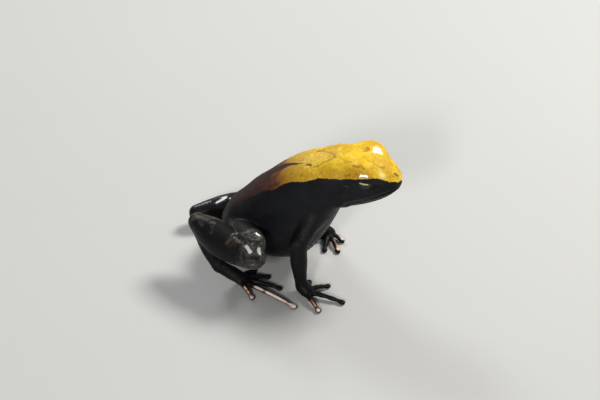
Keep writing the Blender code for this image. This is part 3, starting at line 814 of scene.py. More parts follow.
PAINT = {  # strokes by points on or near the skin, each after its half width
    "scrawl": (
        (0.22, (-4.77, 0.55, 19.12), (-4.53, 0.91, 19.13), (-4.70, 1.12, 19.18)),
        (0.12, (-5.23, 0.27, 19.19), (-4.77, 0.55, 19.12)),
        (0.10, (-4.08, -1.36, 19.14), (-3.68, -1.44, 19.07), (-3.23, -1.47, 18.86), (-2.84, -1.49, 18.63)),
        (0.10, (-2.84, -1.49, 18.63), (-2.5, -1.26, 18.37), (-2.11, -0.95, 18.15)),
        (0.09, (-3.63, -0.75, 18.91), (-3.4, -0.82, 18.85)),
        (0.18, (-5.74, -2.46, 19.0), (-5.19, -2.71, 19.09), (-4.7, -2.66, 19.21), (-4.4, -2.91, 19.07)),
        (0.12, (-5.31, -3.31, 18.39), (-5.2, -3.3, 18.4)),
        (0.18, (-6.51, -3.2, 17.77), (-6.07, -3.24, 18.04)),
        (0.10, (-10.44, 0.85, 17.97), (-9.8, 0.26, 18.33), (-9.21, -0.11, 18.61), (-8.57, -0.75, 18.9)),
        (0.10, (-8.35, -1.17, 18.87), (-8.79, -1.46, 18.62), (-9.28, -1.54, 18.35), (-9.76, -1.69, 18.06)),
        (0.10, (-9.76, -1.69, 18.06), (-10.1, -1.88, 17.83), (-10.58, -1.97, 17.57), (-10.98, -1.9, 17.45)),
        (0.26, (-11.0, 0.93, 17.71), (-10.3, 0.8, 18.03)),
        (0.20, (-8.57, -0.75, 18.9), (-8.35, -1.17, 18.87)),
        (0.08, (-7.43, -0.75, 19.11), (-6.79, -0.17, 19.25)),
        (0.08, (-7.42, -1.39, 18.97), (-6.84, -1.71, 18.92), (-6.18, -1.86, 19.0)),
    ),
    "umber": (
        (0.14, (-11.91, -1.48, 17.22), (-11.58, -1.52, 17.36), (-11.28, -1.69, 17.42)),
        (0.09, (-14.6, -0.55, 15.8), (-13.65, -0.7, 16.5), (-13.0, -0.95, 16.83), (-12.4, -1.05, 17.12)),
    ),
    "cream": (
        (0.11, (-20.35, -7.36, 8.82), (-20.1, -6.85, 8.77), (-19.67, -6.72, 8.83)),
        (0.17, (-19.85, -7.55, 8.75), (-19.19, -8.08, 8.66)),
        (0.10, (-18.81, -8.28, 8.82), (-18.05, -9.17, 9.07)),
        (0.08, (-17.54, -8.57, 10.08), (-16.81, -8.35, 10.2)),
        (0.08, (-17.34, -8.84, 10.01), (-16.49, -8.64, 10.01)),
        (0.10, (-17.11, -9.26, 9.66), (-15.98, -8.65, 9.53)),
        (0.13, (-15.85, -9.11, 6.11), (-15.87, -9.2, 6.35)),
        (0.08, (-17.0, -10.04, 6.76), (-16.8, -9.98, 6.9)),
        (0.10, (-16.2, -9.26, 8.05), (-16.05, -9.1, 7.95)),
    ),
    "tan": (
        (0.18, (-20.61, -8.4, 8.39), (-20.22, -7.88, 8.7), (-20.03, -7.6, 8.75)),
        (0.20, (-15.97, -8.79, 7.81), (-15.6, -8.57, 7.18), (-15.6, -8.34, 6.3)),
        (0.22, (-15.73, -9.01, 7.2), (-15.7, -8.9, 6.9)),
        (0.36, (-26.19, -4.93, 8.41), (-25.55, -4.76, 8.73), (-24.68, -4.54, 8.8), (-23.6, -4.6, 8.72)),
        (0.20, (-23.6, -4.6, 8.72), (-22.63, -4.76, 8.62), (-22.2, -4.8, 8.5)),
        (0.20, (-25.89, -4.07, 8.68), (-24.91, -3.75, 8.43), (-23.9, -3.9, 8.4)),
        (0.16, (-24.36, -5.2, 8.9), (-23.31, -5.17, 8.92)),
        (0.20, (-24.99, -5.61, 8.7), (-24.46, -6.08, 8.7)),
        (0.09, (-23.09, -6.19, 8.97), (-22.95, -6.73, 8.87), (-23.02, -7.24, 8.61)),
        (0.20, (-21.67, -3.25, 7.62), (-20.95, -4.44, 8.08)),
    ),
    "mauve": (
        (0.15, (-19.35, -6.91, 9.06), (-18.9, -7.36, 9.36), (-18.11, -8.37, 9.79)),
        (0.24, (-18.42, -7.19, 9.72), (-17.85, -7.35, 9.97), (-17.64, -7.14, 9.97)),
        (0.14, (-16.26, -7.99, 9.99), (-15.84, -8.15, 9.55), (-15.72, -8.53, 8.98)),
        (0.14, (-23.47, -5.8, 8.99), (-22.92, -5.88, 8.99)),
        (0.10, (-17.54, -9.05, 9.5), (-16.9, -9.15, 9.45)),
    ),
    "blush": (
        (0.3, (-5.6, -3.5, 18.1), (-4.9, -3.55, 18.3), (-4.2, -3.5, 18.4), (-3.3, -3.35, 18.3)),
        (0.2, (-6.4, -3.6, 17.5), (-6.0, -3.5, 17.9)),
    ),
    # a painted highlight on the side of the snout, before the eye
    "glow": (
        (0.35, (-2.4, -2.2, 17.9), (-2.0, -2.1, 17.75)),
    ),
    # mostly painted light: a painted lit band down the right upper arm to the elbow, and a painted lit ridge
    # along the right tarsus; the stroke under the knee is the skin's own lilac grey
    "haze": (
        (0.3, (-10.31, -4.78, 11.69), (-10.75, -5.08, 10.69), (-11.12, -5.42, 9.74), (-11.49, -5.77, 8.78)),
        (0.25, (-12.09, -5.99, 7.84), (-12.75, -5.95, 7.34)),
        (0.22, (-22.21, -6.95, 3.56), (-21.25, -7.14, 2.61), (-20.17, -7.28, 1.64), (-19.51, -7.32, 0.94)),
        (0.22, (-17.66, -9.82, 7.52), (-17.11, -9.97, 7.26), (-16.37, -9.8, 7.08)),
    ),
    "ruddy": (
        (0.10, (-19.39, -7.29, 8.87), (-18.91, -7.87, 9.12)),
        (0.24, (-20.15, -8.7, 8.24), (-19.71, -8.34, 8.52), (-19.41, -8.49, 8.46)),
    ),
    "ink": (
        (0.08, (-17.42, -9.05, 9.84), (-16.65, -9.04, 9.82), (-16.2, -8.85, 9.75)),
        # painted shade along the fold of the right knee
        (0.20, (-17.17, -9.67, 7.83), (-16.66, -9.63, 7.73), (-16.2, -9.41, 7.62)),
        (0.14, (-15.85, -9.32, 6.6), (-15.67, -8.76, 6.22)),
        (0.12, (-18.7, -7.9, 9.25), (-18.3, -8.4, 9.5), (-17.9, -8.95, 9.45)),
        (0.12, (-17.6, -7.8, 10.08), (-17.0, -8.1, 10.22)),
        (0.22, (-18.23, -9.58, 7.9), (-17.9, -9.98, 6.9)),
        (0.09, (-14.94, -1.1, 15.4), (-15.8, -0.9, 14.8), (-16.5, -0.85, 14.1), (-17.0, -1.3, 13.6),
         (-17.6, -1.5, 13.0)),
    ),
}
STROKE_MARGIN = 1.3  # how far round a stroke its strength is worked out
# The pale digits carry a painted highlight along their ridge, on the side that faces the front light and the
# camera.
BRIGHT_DIGITS = {  # how pale each digit is along its length: (share of the length, strength)
    ("foot", RIGHT, 3): (
        (0.22, 0), (0.3, 0.85), (0.4, 0.8), (0.455, 0.4), (0.5, 1), (0.76, 0.95), (0.86, 0.65), (0.93, 0.7),
        (1, 0.95),
    ),
    ("foot", RIGHT, 4): (
        (0.3, 0), (0.4, 0.62), (0.52, 0.7), (0.6, 0.38), (0.7, 0.72), (0.78, 0.45), (0.88, 0.5), (1, 0.8),
    ),
    ("hand", RIGHT, 3): (
        (0.34, 0), (0.46, 0.42), (0.62, 0.5), (0.76, 0.56), (0.86, 0.3), (0.94, 0.66), (1, 0.85),
    ),
    ("hand", LEFT, 3): ((0.2, 0), (0.4, 0.62), (0.8, 0.6), (1, 0.85)),
    ("hand", LEFT, 2): ((0.3, 0), (0.6, 0.5), (0.8, 0.45), (1, 0.8)),
    ("foot", LEFT, 3): ((0.22, 0), (0.35, 0.8), (0.8, 0.9), (1, 0.95)),
    ("foot", LEFT, 4): ((0.3, 0), (0.45, 0.65), (0.8, 0.5), (1, 0.8)),
}
# the side facing the front light and the camera, where the painted highlight of the pale digits lies
DIGIT_HIGHLIGHT_SIDE = (0.172, -0.746, 0.643)  # the side of the right digits that is pale, mirrored on the left


def body_place(points):
    """Where points lie on the head and trunk: along it, degrees round it from the middle of the back, and
    roughly how far outside it, then its half width there."""
    placed = RINGS.place(points[:, 0], points[:, 2]).T
    along, rise, width, above, below = placed[:5]
    out = np.abs(points[:, 1])
    power = BACK_SQUARENESS / 2
    top = np.degrees(np.arctan2((out / width) ** power, (np.maximum(rise, 0) / above) ** power))
    power = BELLY_SQUARENESS / 2
    under = 90 + np.degrees(np.arctan2((np.maximum(-rise, 0) / below) ** power, (out / width) ** power))
    return along, np.where(rise >= 0, top, under), RINGS.distance(out, placed), width


def strokes(points, normals, table):
    """Lays strokes on the skin. Says how far inside the nearest of them each point lies, down to -1."""
    inside = np.full(len(points), -1.0)
    for half, *path in table:
        places = []
        for place in np.array(path):
            near = np.linalg.norm(points - place, axis=1).argmin()
            places.append(place - normals[near] * (normals[near] @ (place - points[near])))
        low, high = np.min(places, axis=0) - STROKE_MARGIN, np.max(places, axis=0) + STROKE_MARGIN
        near = np.flatnonzero(((points > low) & (points < high)).all(axis=1))
        gap, _ = line_distance(points[near], places)
        inside[near] = np.maximum(inside[near], half - gap)
    return inside


def gold_edge(points, along, round_, width):
    """How far above the lower edge of the gold each point of the head and trunk lies."""
    knots, degrees = np.array(GOLD_EDGE).T
    edge = (np.interp(along, knots, degrees) - round_) * width / RADIAN
    back, out, up = in_head(points)
    backs, ups = np.array(SNOUT_EDGE).T
    snout = (up - np.interp(back, backs, ups)) * SNOUT_SLANT + LEFT_SNOUT * soft_step(*LEFT_OF_SNOUT, out)
    edge = snout + (edge - snout) * soft_step(*SNOUT_END, along)
    for eye in EYES.values():
        opening, reach = eye.opening(points)
        near = reach < EYE_RADIUS * EYE_SHADOW_REACH
        edge -= EYE_SHADOW * bump(opening - 1.0, EYE_SHADOW_WIDTH) * near
    return edge


def digit_pale_and_highlight(points, kind, side, i, centres, radii):
    """Pale colour along the ridge of a digit, which holds a painted highlight, with darker sides."""
    shares, strengths = np.array(BRIGHT_DIGITS[kind, side, i]).T
    ridge = centres + np.array(DIGIT_HIGHLIGHT_SIDE) * (1.0, -side, 1.0) * radii[:, None]
    gap, share = path_distance(points, ridge, np.zeros(len(ridge)))
    tip = soft_step(*DIGIT_TIP, share)
    start, end = (line + (disc - line) * tip for line, disc in zip(PALE_LINE, PALE_DISC))
    return np.interp(share, shares, strengths) * (1 - soft_step(start, end, gap))


def limb_markings(points, normals):
    """Distance outside the limbs, and the weights of their pale places, of the pale digits with their painted
    highlight, and of their wet places.
    """
    limb = np.full(len(points), FAR)
    pale, toes, wet = np.zeros(len(points)), np.zeros(len(points)), wetness(points)
    upper = normals[:, 2]
    for side in (RIGHT, LEFT):
        knee_paleness, heel_paleness, thigh_paleness = PALENESS[side]
        for name, (path, radii) in limb_parts(side).items():
            gap, share = path_distance(points, *rounded_path(path, radii))
            near = 1 - soft_step(*LIMB_FADE, gap)
            if name == "shank":
                knee = (1 - soft_step(*KNEE_END, share)) * knee_paleness
                heel = soft_step(*HEEL_START, share) * soft_step(*HEEL_SIDE, upper) * heel_paleness
                pale = np.maximum(pale, near * np.maximum(knee, heel))
                ridge = soft_step(*WET_SIDE, upper) * soft_step(*WET_START, share)
                wet = np.maximum(wet, near * ridge * WET_SHANK[side])
            if name == "thigh":
                pale = np.maximum(pale, near * soft_step(*THIGH_PALE, share) * thigh_paleness)
            limb = np.minimum(limb, gap)
        for kind, (pad, digits) in (("hand", hand_parts(side)), ("foot", foot_parts(side))):
            for i, (centres, radii) in enumerate((*digits, pad)):
                gap, _ = path_distance(points, centres, radii)
                limb = np.minimum(limb, gap)
                if (kind, side, i) in BRIGHT_DIGITS:
                    near = 1 - soft_step(*DIGIT_FADE, gap)
                    toes = np.maximum(toes, near * digit_pale_and_highlight(points, kind, side, i, centres, radii))
    return limb, {"pale": pale, "toes": toes, "wet": wet}


def markings(points, normals):
    """Weights of the colours at each point, as a dictionary of arrays."""
    along, round_, outside, width = body_place(points)
    limb, values = limb_markings(points, normals)
    on_limb = soft_step(*LIMB_EDGE, outside - np.maximum(limb, 0.0))
    edge = gold_edge(points, along, round_, width)
    edge -= LIMB_DARKNESS * on_limb * soft_step(*LIMB_CLEAR, outside)
    y = points[:, 1]
    streak = np.minimum(y - np.interp(along, *np.array(STREAK_RIGHT).T),
                        np.interp(along, *np.array(STREAK_LEFT).T) - y)
    streak -= 1 - soft_step(*STREAK_START, along)
    lag = LEFT_LAG * soft_step(*LEFT_SIDE, y) * (1 - soft_step(*LAG_END, along))
    back, _, up = in_head(points)
    # painted highlight along the wet edge of the upper lip
    lip = bump(up - mouth_level(back) - LIP_HEIGHT, LIP_WIDTH)
    front = 1 - soft_step(*LIP_END, back)
    slot, _ = line_distance(side_places(points), NOSTRIL_SLOT)
    values |= {
        "gold_edge": edge,
        "rust": np.clip((along - lag - RUST_START) / RUST_LENGTH, 0.0, 1.0),
        "limb": on_limb,
        "streak": np.maximum(streak, -1.0),
        "lip": lip * front * soft_step(*LIP_START, back),
        "face": front * (1 - soft_step(*FACE_END, back)),
        # painted shade inside the nostril slots
        "nostril": bump(slot, NOSTRIL_WIDTH) * np.where(y > 0, LEFT_NOSTRIL, 1.0),
        "belly": soft_step(*BELLY_SIDE, round_) * soft_step(*BELLY_START, along) * (1 - on_limb),
    }
    for name, table in PAINT.items():
        values[name] = strokes(points, normals, table)
    return values


# ---------------------------------------------------------------- skin mesh


def placed_shift():
    """How far the solids stand from the frog's own frame."""
    boxes = [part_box("eye_" + name) for name in SIDE_NAMES.values()]
    middle = sum(((low + high) / 2 for low, high in boxes), Vector()) / len(boxes) / MM
    return np.array(middle) - head_point(EYE[0], 0.0, EYE[2])


def edges_of(mesh):
    """The pairs of points that the edges of a mesh join."""
    edges = np.zeros(len(mesh.edges) * 2, np.int32)
    mesh.edges.foreach_get("vertices", edges)
    return edges.reshape(-1, 2)


def points_of(mesh, what="co"):
    """The points of a mesh, or another value that each has for x, y and z."""
    values = np.zeros(len(mesh.vertices) * 3, np.float32)
    mesh.vertices.foreach_get(what, values)
    return values.reshape(-1, 3).astype(float)


def set_points(mesh, points):
    """Moves the points of a mesh."""
    mesh.vertices.foreach_set("co", points.astype(np.float32).ravel())
    mesh.update()


def set_weights(mesh, weights):
    """Stores one number for each point of a mesh under each name."""
    for name, values in weights.items():
        attribute = mesh.attributes.new(name, "FLOAT", "POINT")
        attribute.data.foreach_set("value", values.astype(np.float32))


def largest_piece(mesh):
    """Removes all but the largest connected part of a mesh."""
    edges = edges_of(mesh)
    label = np.arange(len(mesh.vertices))
    while True:
        low = np.minimum(label[edges[:, 0]], label[edges[:, 1]])
        new = label.copy()
        np.minimum.at(new, edges[:, 0], low)
        np.minimum.at(new, edges[:, 1], low)
        new = new[new]
        new = new[new]
        if (new == label).all():
            break
        label = new
    names, counts = np.unique(label, return_counts=True)
    if len(names) == 1:
        return
    keep = names[counts.argmax()]
    work = bmesh.new()
    work.from_mesh(mesh)
    loose = [v for v in work.verts if label[v.index] != keep]
    bmesh.ops.delete(work, geom=loose, context="VERTS")
    work.to_mesh(mesh)
    work.free()


def refine(mesh, wanted):
    """Splits the faces whose middles are wanted in four."""
    work = bmesh.new()
    work.from_mesh(mesh)
    middles = np.array([f.calc_center_median() for f in work.faces])
    chosen = wanted(middles)
    edges = {e for f, c in zip(work.faces, chosen) if c for e in f.edges}
    bmesh.ops.subdivide_edges(work, edges=list(edges), cuts=1, use_grid_fill=True)
    big = [f for f in work.faces if len(f.verts) > 4]
    bmesh.ops.triangulate(work, faces=big)
    work.to_mesh(mesh)
    work.free()


def fine_area(points):
    """Which points carry the finest forms: eyes, nostrils, lips, eardrums and the folds of the right knee."""
    places = side_places(points)
    back, out, up = places.T
    eye = np.linalg.norm(places - EYE, axis=1) < 2.0
    front = (back < 2.4) & (up < 2.6) & (up > -0.8)
    mouth = (back < 7.3) & (np.abs(up - mouth_level(back)) < 0.55)
    drum = np.hypot(back - EARDRUM[0], up - EARDRUM[2]) < 1.0
    knee = np.linalg.norm(points - KNEE, axis=1) < 2.4
    return (eye & (out > 2.4)) | front | mouth | (drum & (out > 2.5)) | knee


SMOOTHING = 0.5  # how far each smoothing step moves a point towards its neighbours' middle
TOE_SMOOTHING = 0.35  # the share of that on the floor, where thin toes would shrink
RAISED = (0.3, 1.2)  # height above the floor where the full smoothing sets in
LOW_SKIN = (0.1, 0.6)  # height above the floor where the grains set in
TOE_GRAINS, WET_GRAINS = 0.25, 0.15  # share of the grains on pale toes and on wet flats
TOE_GRAIN_FADE = 1.5  # how fast they lessen as a toe gets paler
LID_REACH, LID_GRAINS = 1.5, (1.0, 1.5)  # radii of the eye, and the openings where the grains set in
GRAIN_SEED, RIPPLE_SEED = 3, 11


def granular(points, toes):
    """How strongly the grains stand out at each point: little on pale toes, wet flats and lids."""
    strength = np.clip(1 - toes * TOE_GRAIN_FADE, TOE_GRAINS, 1.0) * soft_step(*LOW_SKIN, points[:, 2])
    strength *= 1 - (1 - WET_GRAINS) * wetness(points)
    for eye in EYES.values():
        opening, reach = eye.opening(points)
        strength *= np.where(reach < EYE_RADIUS * LID_REACH, soft_step(*LID_GRAINS, opening), 1.0)
    return strength


def skin_mesh(s):
    """The skin in one piece, with its relief and the weights of its colours."""
    points, quads = modelled_body().surface()
    mesh = bpy.data.meshes.new("skin")
    mesh.from_pydata(points.tolist(), [], quads.tolist())
    largest_piece(mesh)
    points = points_of(mesh)
    raised = soft_step(*RAISED, points[:, 2])[:, None]
    weight = TOE_SMOOTHING + (1 - TOE_SMOOTHING) * raised
    set_points(mesh, relaxed(points, edges_of(mesh), 4, SMOOTHING, weight))
    refine(mesh, fine_area)
    edges, points = edges_of(mesh), points_of(mesh)
    fine = fine_area(points)[:, None]
    points = shaped_lids(relaxed(points, edges, 3, SMOOTHING, fine))
    points = relaxed(points, edges, 1, SMOOTHING, fine)
    set_points(mesh, points)
    normals = points_of(mesh, "normal")
    weights = markings(points, normals)
    height = face_relief(points) + leg_relief(points, normals)
    relief = (grains(points, s.grain_size / MM, GRAIN_SEED) - 0.5) * s.grain_height / MM
    relief += ripple(points, s.ripple_size / MM, RIPPLE_SEED) * s.ripple_height / MM
    height += relief * granular(points, weights["toes"])
    set_points(mesh, points + normals * height[:, None])
    points, normals = points_of(mesh), points_of(mesh, "normal")
    set_points(mesh, points + normals * flat_relief(points, normals)[:, None])
    set_weights(mesh, weights)
    return mesh


EYE_SEGMENTS, EYE_RINGS = 56, 40
CORNEA_RISE, CORNEA_EDGE = 0.035, (0.5, 1.0)  # a share of the radius, and the angles where it falls away


def eyeball_mesh(side):
    """A ball with a slightly raised cornea, its pole along the gaze."""
    eye = EYES[side]
    work = bmesh.new()
    bmesh.ops.create_uvsphere(work, u_segments=EYE_SEGMENTS, v_segments=EYE_RINGS, radius=1.0)
    mesh = bpy.data.meshes.new("eye_" + SIDE_NAMES[side])
    work.to_mesh(mesh)
    work.free()
    unit = points_of(mesh)
    angle = np.arccos(np.clip(unit[:, 2], -1, 1))
    reach = EYE_RADIUS * (1 + CORNEA_RISE * (1 - soft_step(*CORNEA_EDGE, angle)))
    axes = np.stack([eye.back, eye.up, eye.gaze])
    if np.linalg.det(axes) < 0:
        mesh.flip_normals()
    set_points(mesh, eye.centre + (unit @ axes) * reach[:, None])
    set_weights(mesh, dict(zip(("eye_back", "eye_up", "eye_front"), unit.T)))
    return mesh


# ---------------------------------------------------------------- finishes


class Finish:
    """A material of one Principled shader, with short calls for the nodes that feed it."""

    def __init__(self, name):
        self.material = bpy.data.materials.new(name)
        self.material.use_nodes = True
        self.nodes = self.material.node_tree.nodes
        self.links = self.material.node_tree.links
        self.shader = self.nodes["Principled BSDF"]
        self.place = self.nodes.new("ShaderNodeTexCoord").outputs["Object"]

    def set(self, **values):
        """Sets numbers that are the same all over the surface, by the names of the shader's sockets."""
        for name, value in values.items():
            self.shader.inputs[name.replace("_", " ")].default_value = value

    def feed(self, socket, value):
        """Gives a socket another node's output, a number or a colour."""
        if isinstance(value, bpy.types.NodeSocket):
            self.links.new(value, socket)
        elif isinstance(value, float):
            socket.default_value = value
        else:
            socket.default_value = (*value, 1.0)

    def weight(self, name):
        """One of the weights of the mesh."""
        node = self.nodes.new("ShaderNodeAttribute")
        node.attribute_name = name
        return node.outputs["Fac"]

    def noise(self, size, detail=2.0, rough=0.5, distortion=0.0):
        """Soft noise from 0 to 1 with features about size millimetres wide."""
        node = self.nodes.new("ShaderNodeTexNoise")
        self.links.new(self.place, node.inputs["Vector"])
        node.inputs["Scale"].default_value = 1 / (size * MM)
        node.inputs["Detail"].default_value = detail
        node.inputs["Roughness"].default_value = rough
        node.inputs["Distortion"].default_value = distortion
        return node.outputs["Fac"]

    def grains(self, size):
        """Soft grains about size millimetres wide: the distance from the middle of each."""
        node = self.nodes.new("ShaderNodeTexVoronoi")
        node.feature = "SMOOTH_F1"
        self.links.new(self.place, node.inputs["Vector"])
        node.inputs["Scale"].default_value = 1 / (size * MM)
        return node.outputs["Distance"]

    def math(self, operation, *values):
        """One step of arithmetic."""
        node = self.nodes.new("ShaderNodeMath")
        node.operation = operation
        for socket, value in zip(node.inputs, values):
            self.feed(socket, value)
        return node.outputs[0]

    def ramp(self, value, low, high, start=0.0, end=1.0):
        """Goes smoothly from start at low to end at high."""
        node = self.nodes.new("ShaderNodeMapRange")
        node.interpolation_type = "SMOOTHSTEP"
        self.feed(node.inputs["Value"], value)
        for name, number in (("From Min", low), ("From Max", high), ("To Min", start), ("To Max", end)):
            self.feed(node.inputs[name], number)
        return node.outputs["Result"]

    def stops(self, value, settings, stops):
        """A colour that runs through stops, each a position and the name of a colour of the settings."""
        node = self.nodes.new("ShaderNodeValToRGB")
        self.links.new(value, node.inputs["Fac"])
        band = node.color_ramp.elements
        while len(band) < len(stops):
            band.new(1.0)
        for element, (position, name) in zip(band, stops):
            element.position = position
            element.color = (*getattr(settings, name), 1.0)
        return node.outputs["Color"]

    def stroke(self, name, noise, waver=0.12, soft=0.06):
        """A painted stroke of the mesh, with an uneven soft edge."""
        return self.ramp(self.wavered(name, noise, waver), -soft, soft)

    def times(self, first, second):
        """Two values multiplied."""
        return self.math("MULTIPLY", first, second)

    def about_zero(self, noise, amount):
        """Noise from 0 to 1 turned into half of amount to either side of 0."""
        return self.times(self.math("SUBTRACT", noise, 0.5), amount)

    def wavered(self, name, noise, amount):
        """A weight of the mesh, made uneven by noise."""
        return self.math("ADD", self.weight(name), self.about_zero(noise, amount))

    def mix(self, share, first, second):
        """The first colour where share is 0, and the second where it is 1."""
        node = self.nodes.new("ShaderNodeMix")
        node.data_type = "RGBA"
        self.feed(node.inputs[0], share)
        self.feed(node.inputs[6], first)
        self.feed(node.inputs[7], second)
        return node.outputs[2]

    def bump(self, height, distance, strength):
        """Makes the shader shade small relief, whose full height is distance millimetres."""
        node = self.nodes.new("ShaderNodeBump")
        self.feed(node.inputs["Strength"], strength)
        node.inputs["Distance"].default_value = distance * MM
        self.links.new(height, node.inputs["Height"])
        self.links.new(node.outputs["Normal"], self.shader.inputs["Normal"])


BACK_STOPS = (  # along the back, from the snout to the end of the stripe
    (0.0, "back_colour"), (0.15, "amber_colour"), (0.38, "ochre_colour"), (0.44, "bronze_colour"),
    (0.495, "rust_colour"), (0.58, "chestnut_colour"), (0.7, "rump_colour"), (0.962, "tail_colour"),
)
# the orange sides and dark red rim are the toes' colour; the brightest stop is a painted highlight on the
# ridge
TOE_STOPS = (  # from the dark of a leg to the ridge of a pale toe
    (0.12, "leg_shade"), (0.34, "toe_rim"), (0.5, "toe_shade"), (0.68, "toe_colour"), (1.0, "toe_painted_highlight"),
)
LEG_PAINT = (  # each kind of stroke on the legs: how strong it is, how soft its edge is, and its colour
    # painted lit bands on the right arm and tarsus, and the lilac grey under the knee
    ("haze", 0.5, 0.45, "painted_light_and_lilac_colour"),
    ("mauve", 0.5, 0.18, "mauve_colour"),
    ("tan", 0.48, 0.28, "tan_colour"),
    ("ruddy", 0.35, 0.28, "ruddy_colour"),
    ("cream", 0.5, 0.12, "cream_colour"),
    # dark marks, and painted shade in the fold of the knee
    ("ink", 0.85, 0.1, "leg_shade"),
)


def skin_finish(s):
    """Gold running to rust over the back, near black below a sharp edge, a mottled knee and pale toes, with
    painted highlights on the toes, the lip and the snout, painted lit bands on the right arm and tarsus, and
    painted shade in the knee's fold and the nostrils.
    """
    f = Finish("wet_granular_skin")
    fleck = f.noise(0.35, 5.0, 0.65)
    cloud = f.noise(2.2, 3.0, 0.55)
    patch = f.noise(0.9, 4.0, 0.6)
    fine = f.noise(0.16, 3.0, 0.6)
    edging = f.noise(0.45, 3.0, 0.55)

    edge = f.wavered("gold_edge", edging, 0.28)
    gold = f.ramp(edge, -0.05, 0.05)
    rust = f.math("ADD", f.wavered("rust", cloud, 0.09), f.about_zero(patch, 0.13))
    back = f.stops(rust, s, BACK_STOPS)
    fresh = f.ramp(rust, 0.14, 0.42, 1.0, 0.0)
    back = f.mix(f.times(f.ramp(cloud, 0.4, 0.62), f.times(fresh, 0.85)), back, s.back_shade)
    drops = f.ramp(f.noise(0.7, 4.0, 0.6, 1.2), 0.54, 0.7)
    back = f.mix(f.times(drops, f.times(fresh, 0.75)), back, s.back_light)
    back = f.mix(f.times(f.ramp(fleck, 0.5, 0.7), f.times(fresh, 0.5)), back, s.fleck_colour)
    freckle = f.ramp(f.noise(0.6, 3.0, 0.6, 0.8), 0.55, 0.68)
    speckled = f.times(f.ramp(rust, 0.02, 0.2, 0.35, 0.65), f.ramp(rust, 0.34, 0.46, 1.0, 0.0))
    back = f.mix(f.times(freckle, speckled), back, s.scrawl_colour)
    hips = f.times(f.ramp(rust, 0.17, 0.27), f.ramp(rust, 0.4, 0.5, 1.0, 0.0))
    ember = f.times(f.times(f.ramp(patch, 0.5, 0.64), hips), f.ramp(edge, 0.3, 1.4, 0.9, 0.1))
    back = f.mix(ember, back, s.ember_colour)
    grain = f.times(f.ramp(patch, 0.45, 0.7), f.ramp(rust, 0.26, 0.48, 0.0, 0.5))
    back = f.mix(grain, back, s.tail_colour)
    back = f.mix(f.times(f.stroke("blush", patch, 0.3, 0.3), 0.55), back, s.fringe_colour)
    # a painted highlight on the side of the snout, in pale gold
    back = f.mix(f.times(f.stroke("glow", patch, 0.3, 0.35), 0.9), back, s.painted_snout_highlight_colour)
    scrawl = f.times(f.stroke("scrawl", edging, 0.4, 0.1), f.ramp(rust, 0.0, 0.12, 0.75, 0.95))
    back = f.mix(scrawl, back, s.scrawl_colour)
    back = f.mix(f.times(f.stroke("umber", edging, 0.2, 0.07), 0.9), back, s.umber_colour)
    streak = f.ramp(f.wavered("streak", patch, 0.4), -0.1, 0.12)
    back = f.mix(f.times(streak, f.ramp(rust, 0.6, 0.82, 1.0, 0.35)), back, s.streak_colour)

    dark = f.mix(f.ramp(cloud, 0.3, 0.7), s.flank_colour, s.flank_sheen)
    dark = f.mix(f.times(f.weight("face"), 0.7), dark, s.face_colour)
    brown = f.mix(f.ramp(patch, 0.4, 0.65), s.leg_colour, s.leg_shade)
    dark = f.mix(f.weight("limb"), dark, brown)
    spots = f.ramp(f.noise(0.8, 2.0, 0.5, 0.6), 0.6, 0.68)
    dark = f.mix(f.times(spots, f.weight("belly")), dark, s.belly_fleck)
    wash = f.ramp(f.wavered("pale", patch, 1.1), 0.45, 1.1)
    dark = f.mix(f.times(wash, f.ramp(fleck, 0.36, 0.62, 0.15, 0.9)), dark, s.mottle_wash)
    for name, strength, soft, tint in LEG_PAINT:
        share = f.times(f.stroke(name, patch, 0.4, soft), f.ramp(fleck, 0.36, 0.6, 0.15, 1.0))
        dark = f.mix(f.times(share, strength), dark, getattr(s, tint))
    # the painted highlight along the wet edge of the upper lip
    dark = f.mix(f.times(f.weight("lip"), f.ramp(fine, 0.1, 0.5)), dark, s.mouth_edge_highlight_colour)
    # painted shade inside the nostrils
    back = f.mix(f.weight("nostril"), back, s.nostril_shade_colour)
    # pale toes, whose ridge is a painted highlight
    toe = f.wavered("toes", fleck, 0.16)
    pink = f.stops(toe, s, TOE_STOPS)
    dark = f.mix(f.ramp(toe, 0.14, 0.34), dark, pink)
    inner = f.math("MAXIMUM", f.stroke("gold_edge", fine, 0.1, 0.1), f.ramp(rust, 0.3, 0.42))
    back = f.mix(inner, s.fringe_colour, back)
    f.feed(f.shader.inputs["Base Color"], f.mix(gold, dark, back))

    smooth = f.ramp(fine, 0.3, 0.7, 0.42, 0.6)
    matt = f.times(gold, f.ramp(rust, 0.3, 0.65, 0.0, 0.25))
    f.feed(f.shader.inputs["Roughness"], f.math("ADD", smooth, matt))
    f.feed(f.shader.inputs["Coat Weight"], f.math("ADD", f.times(f.weight("wet"), 0.9), 0.03))
    f.set(Coat_Roughness=0.2, Specular_IOR_Level=0.14, Subsurface_Weight=0.05, Subsurface_Scale=0.0005)
    relief = f.math("ADD", f.times(f.grains(0.2), -0.6), f.times(fine, 0.5))
    f.bump(relief, 0.035, f.ramp(f.weight("wet"), 0.0, 1.0, 0.6, 0.22))
    return f.material


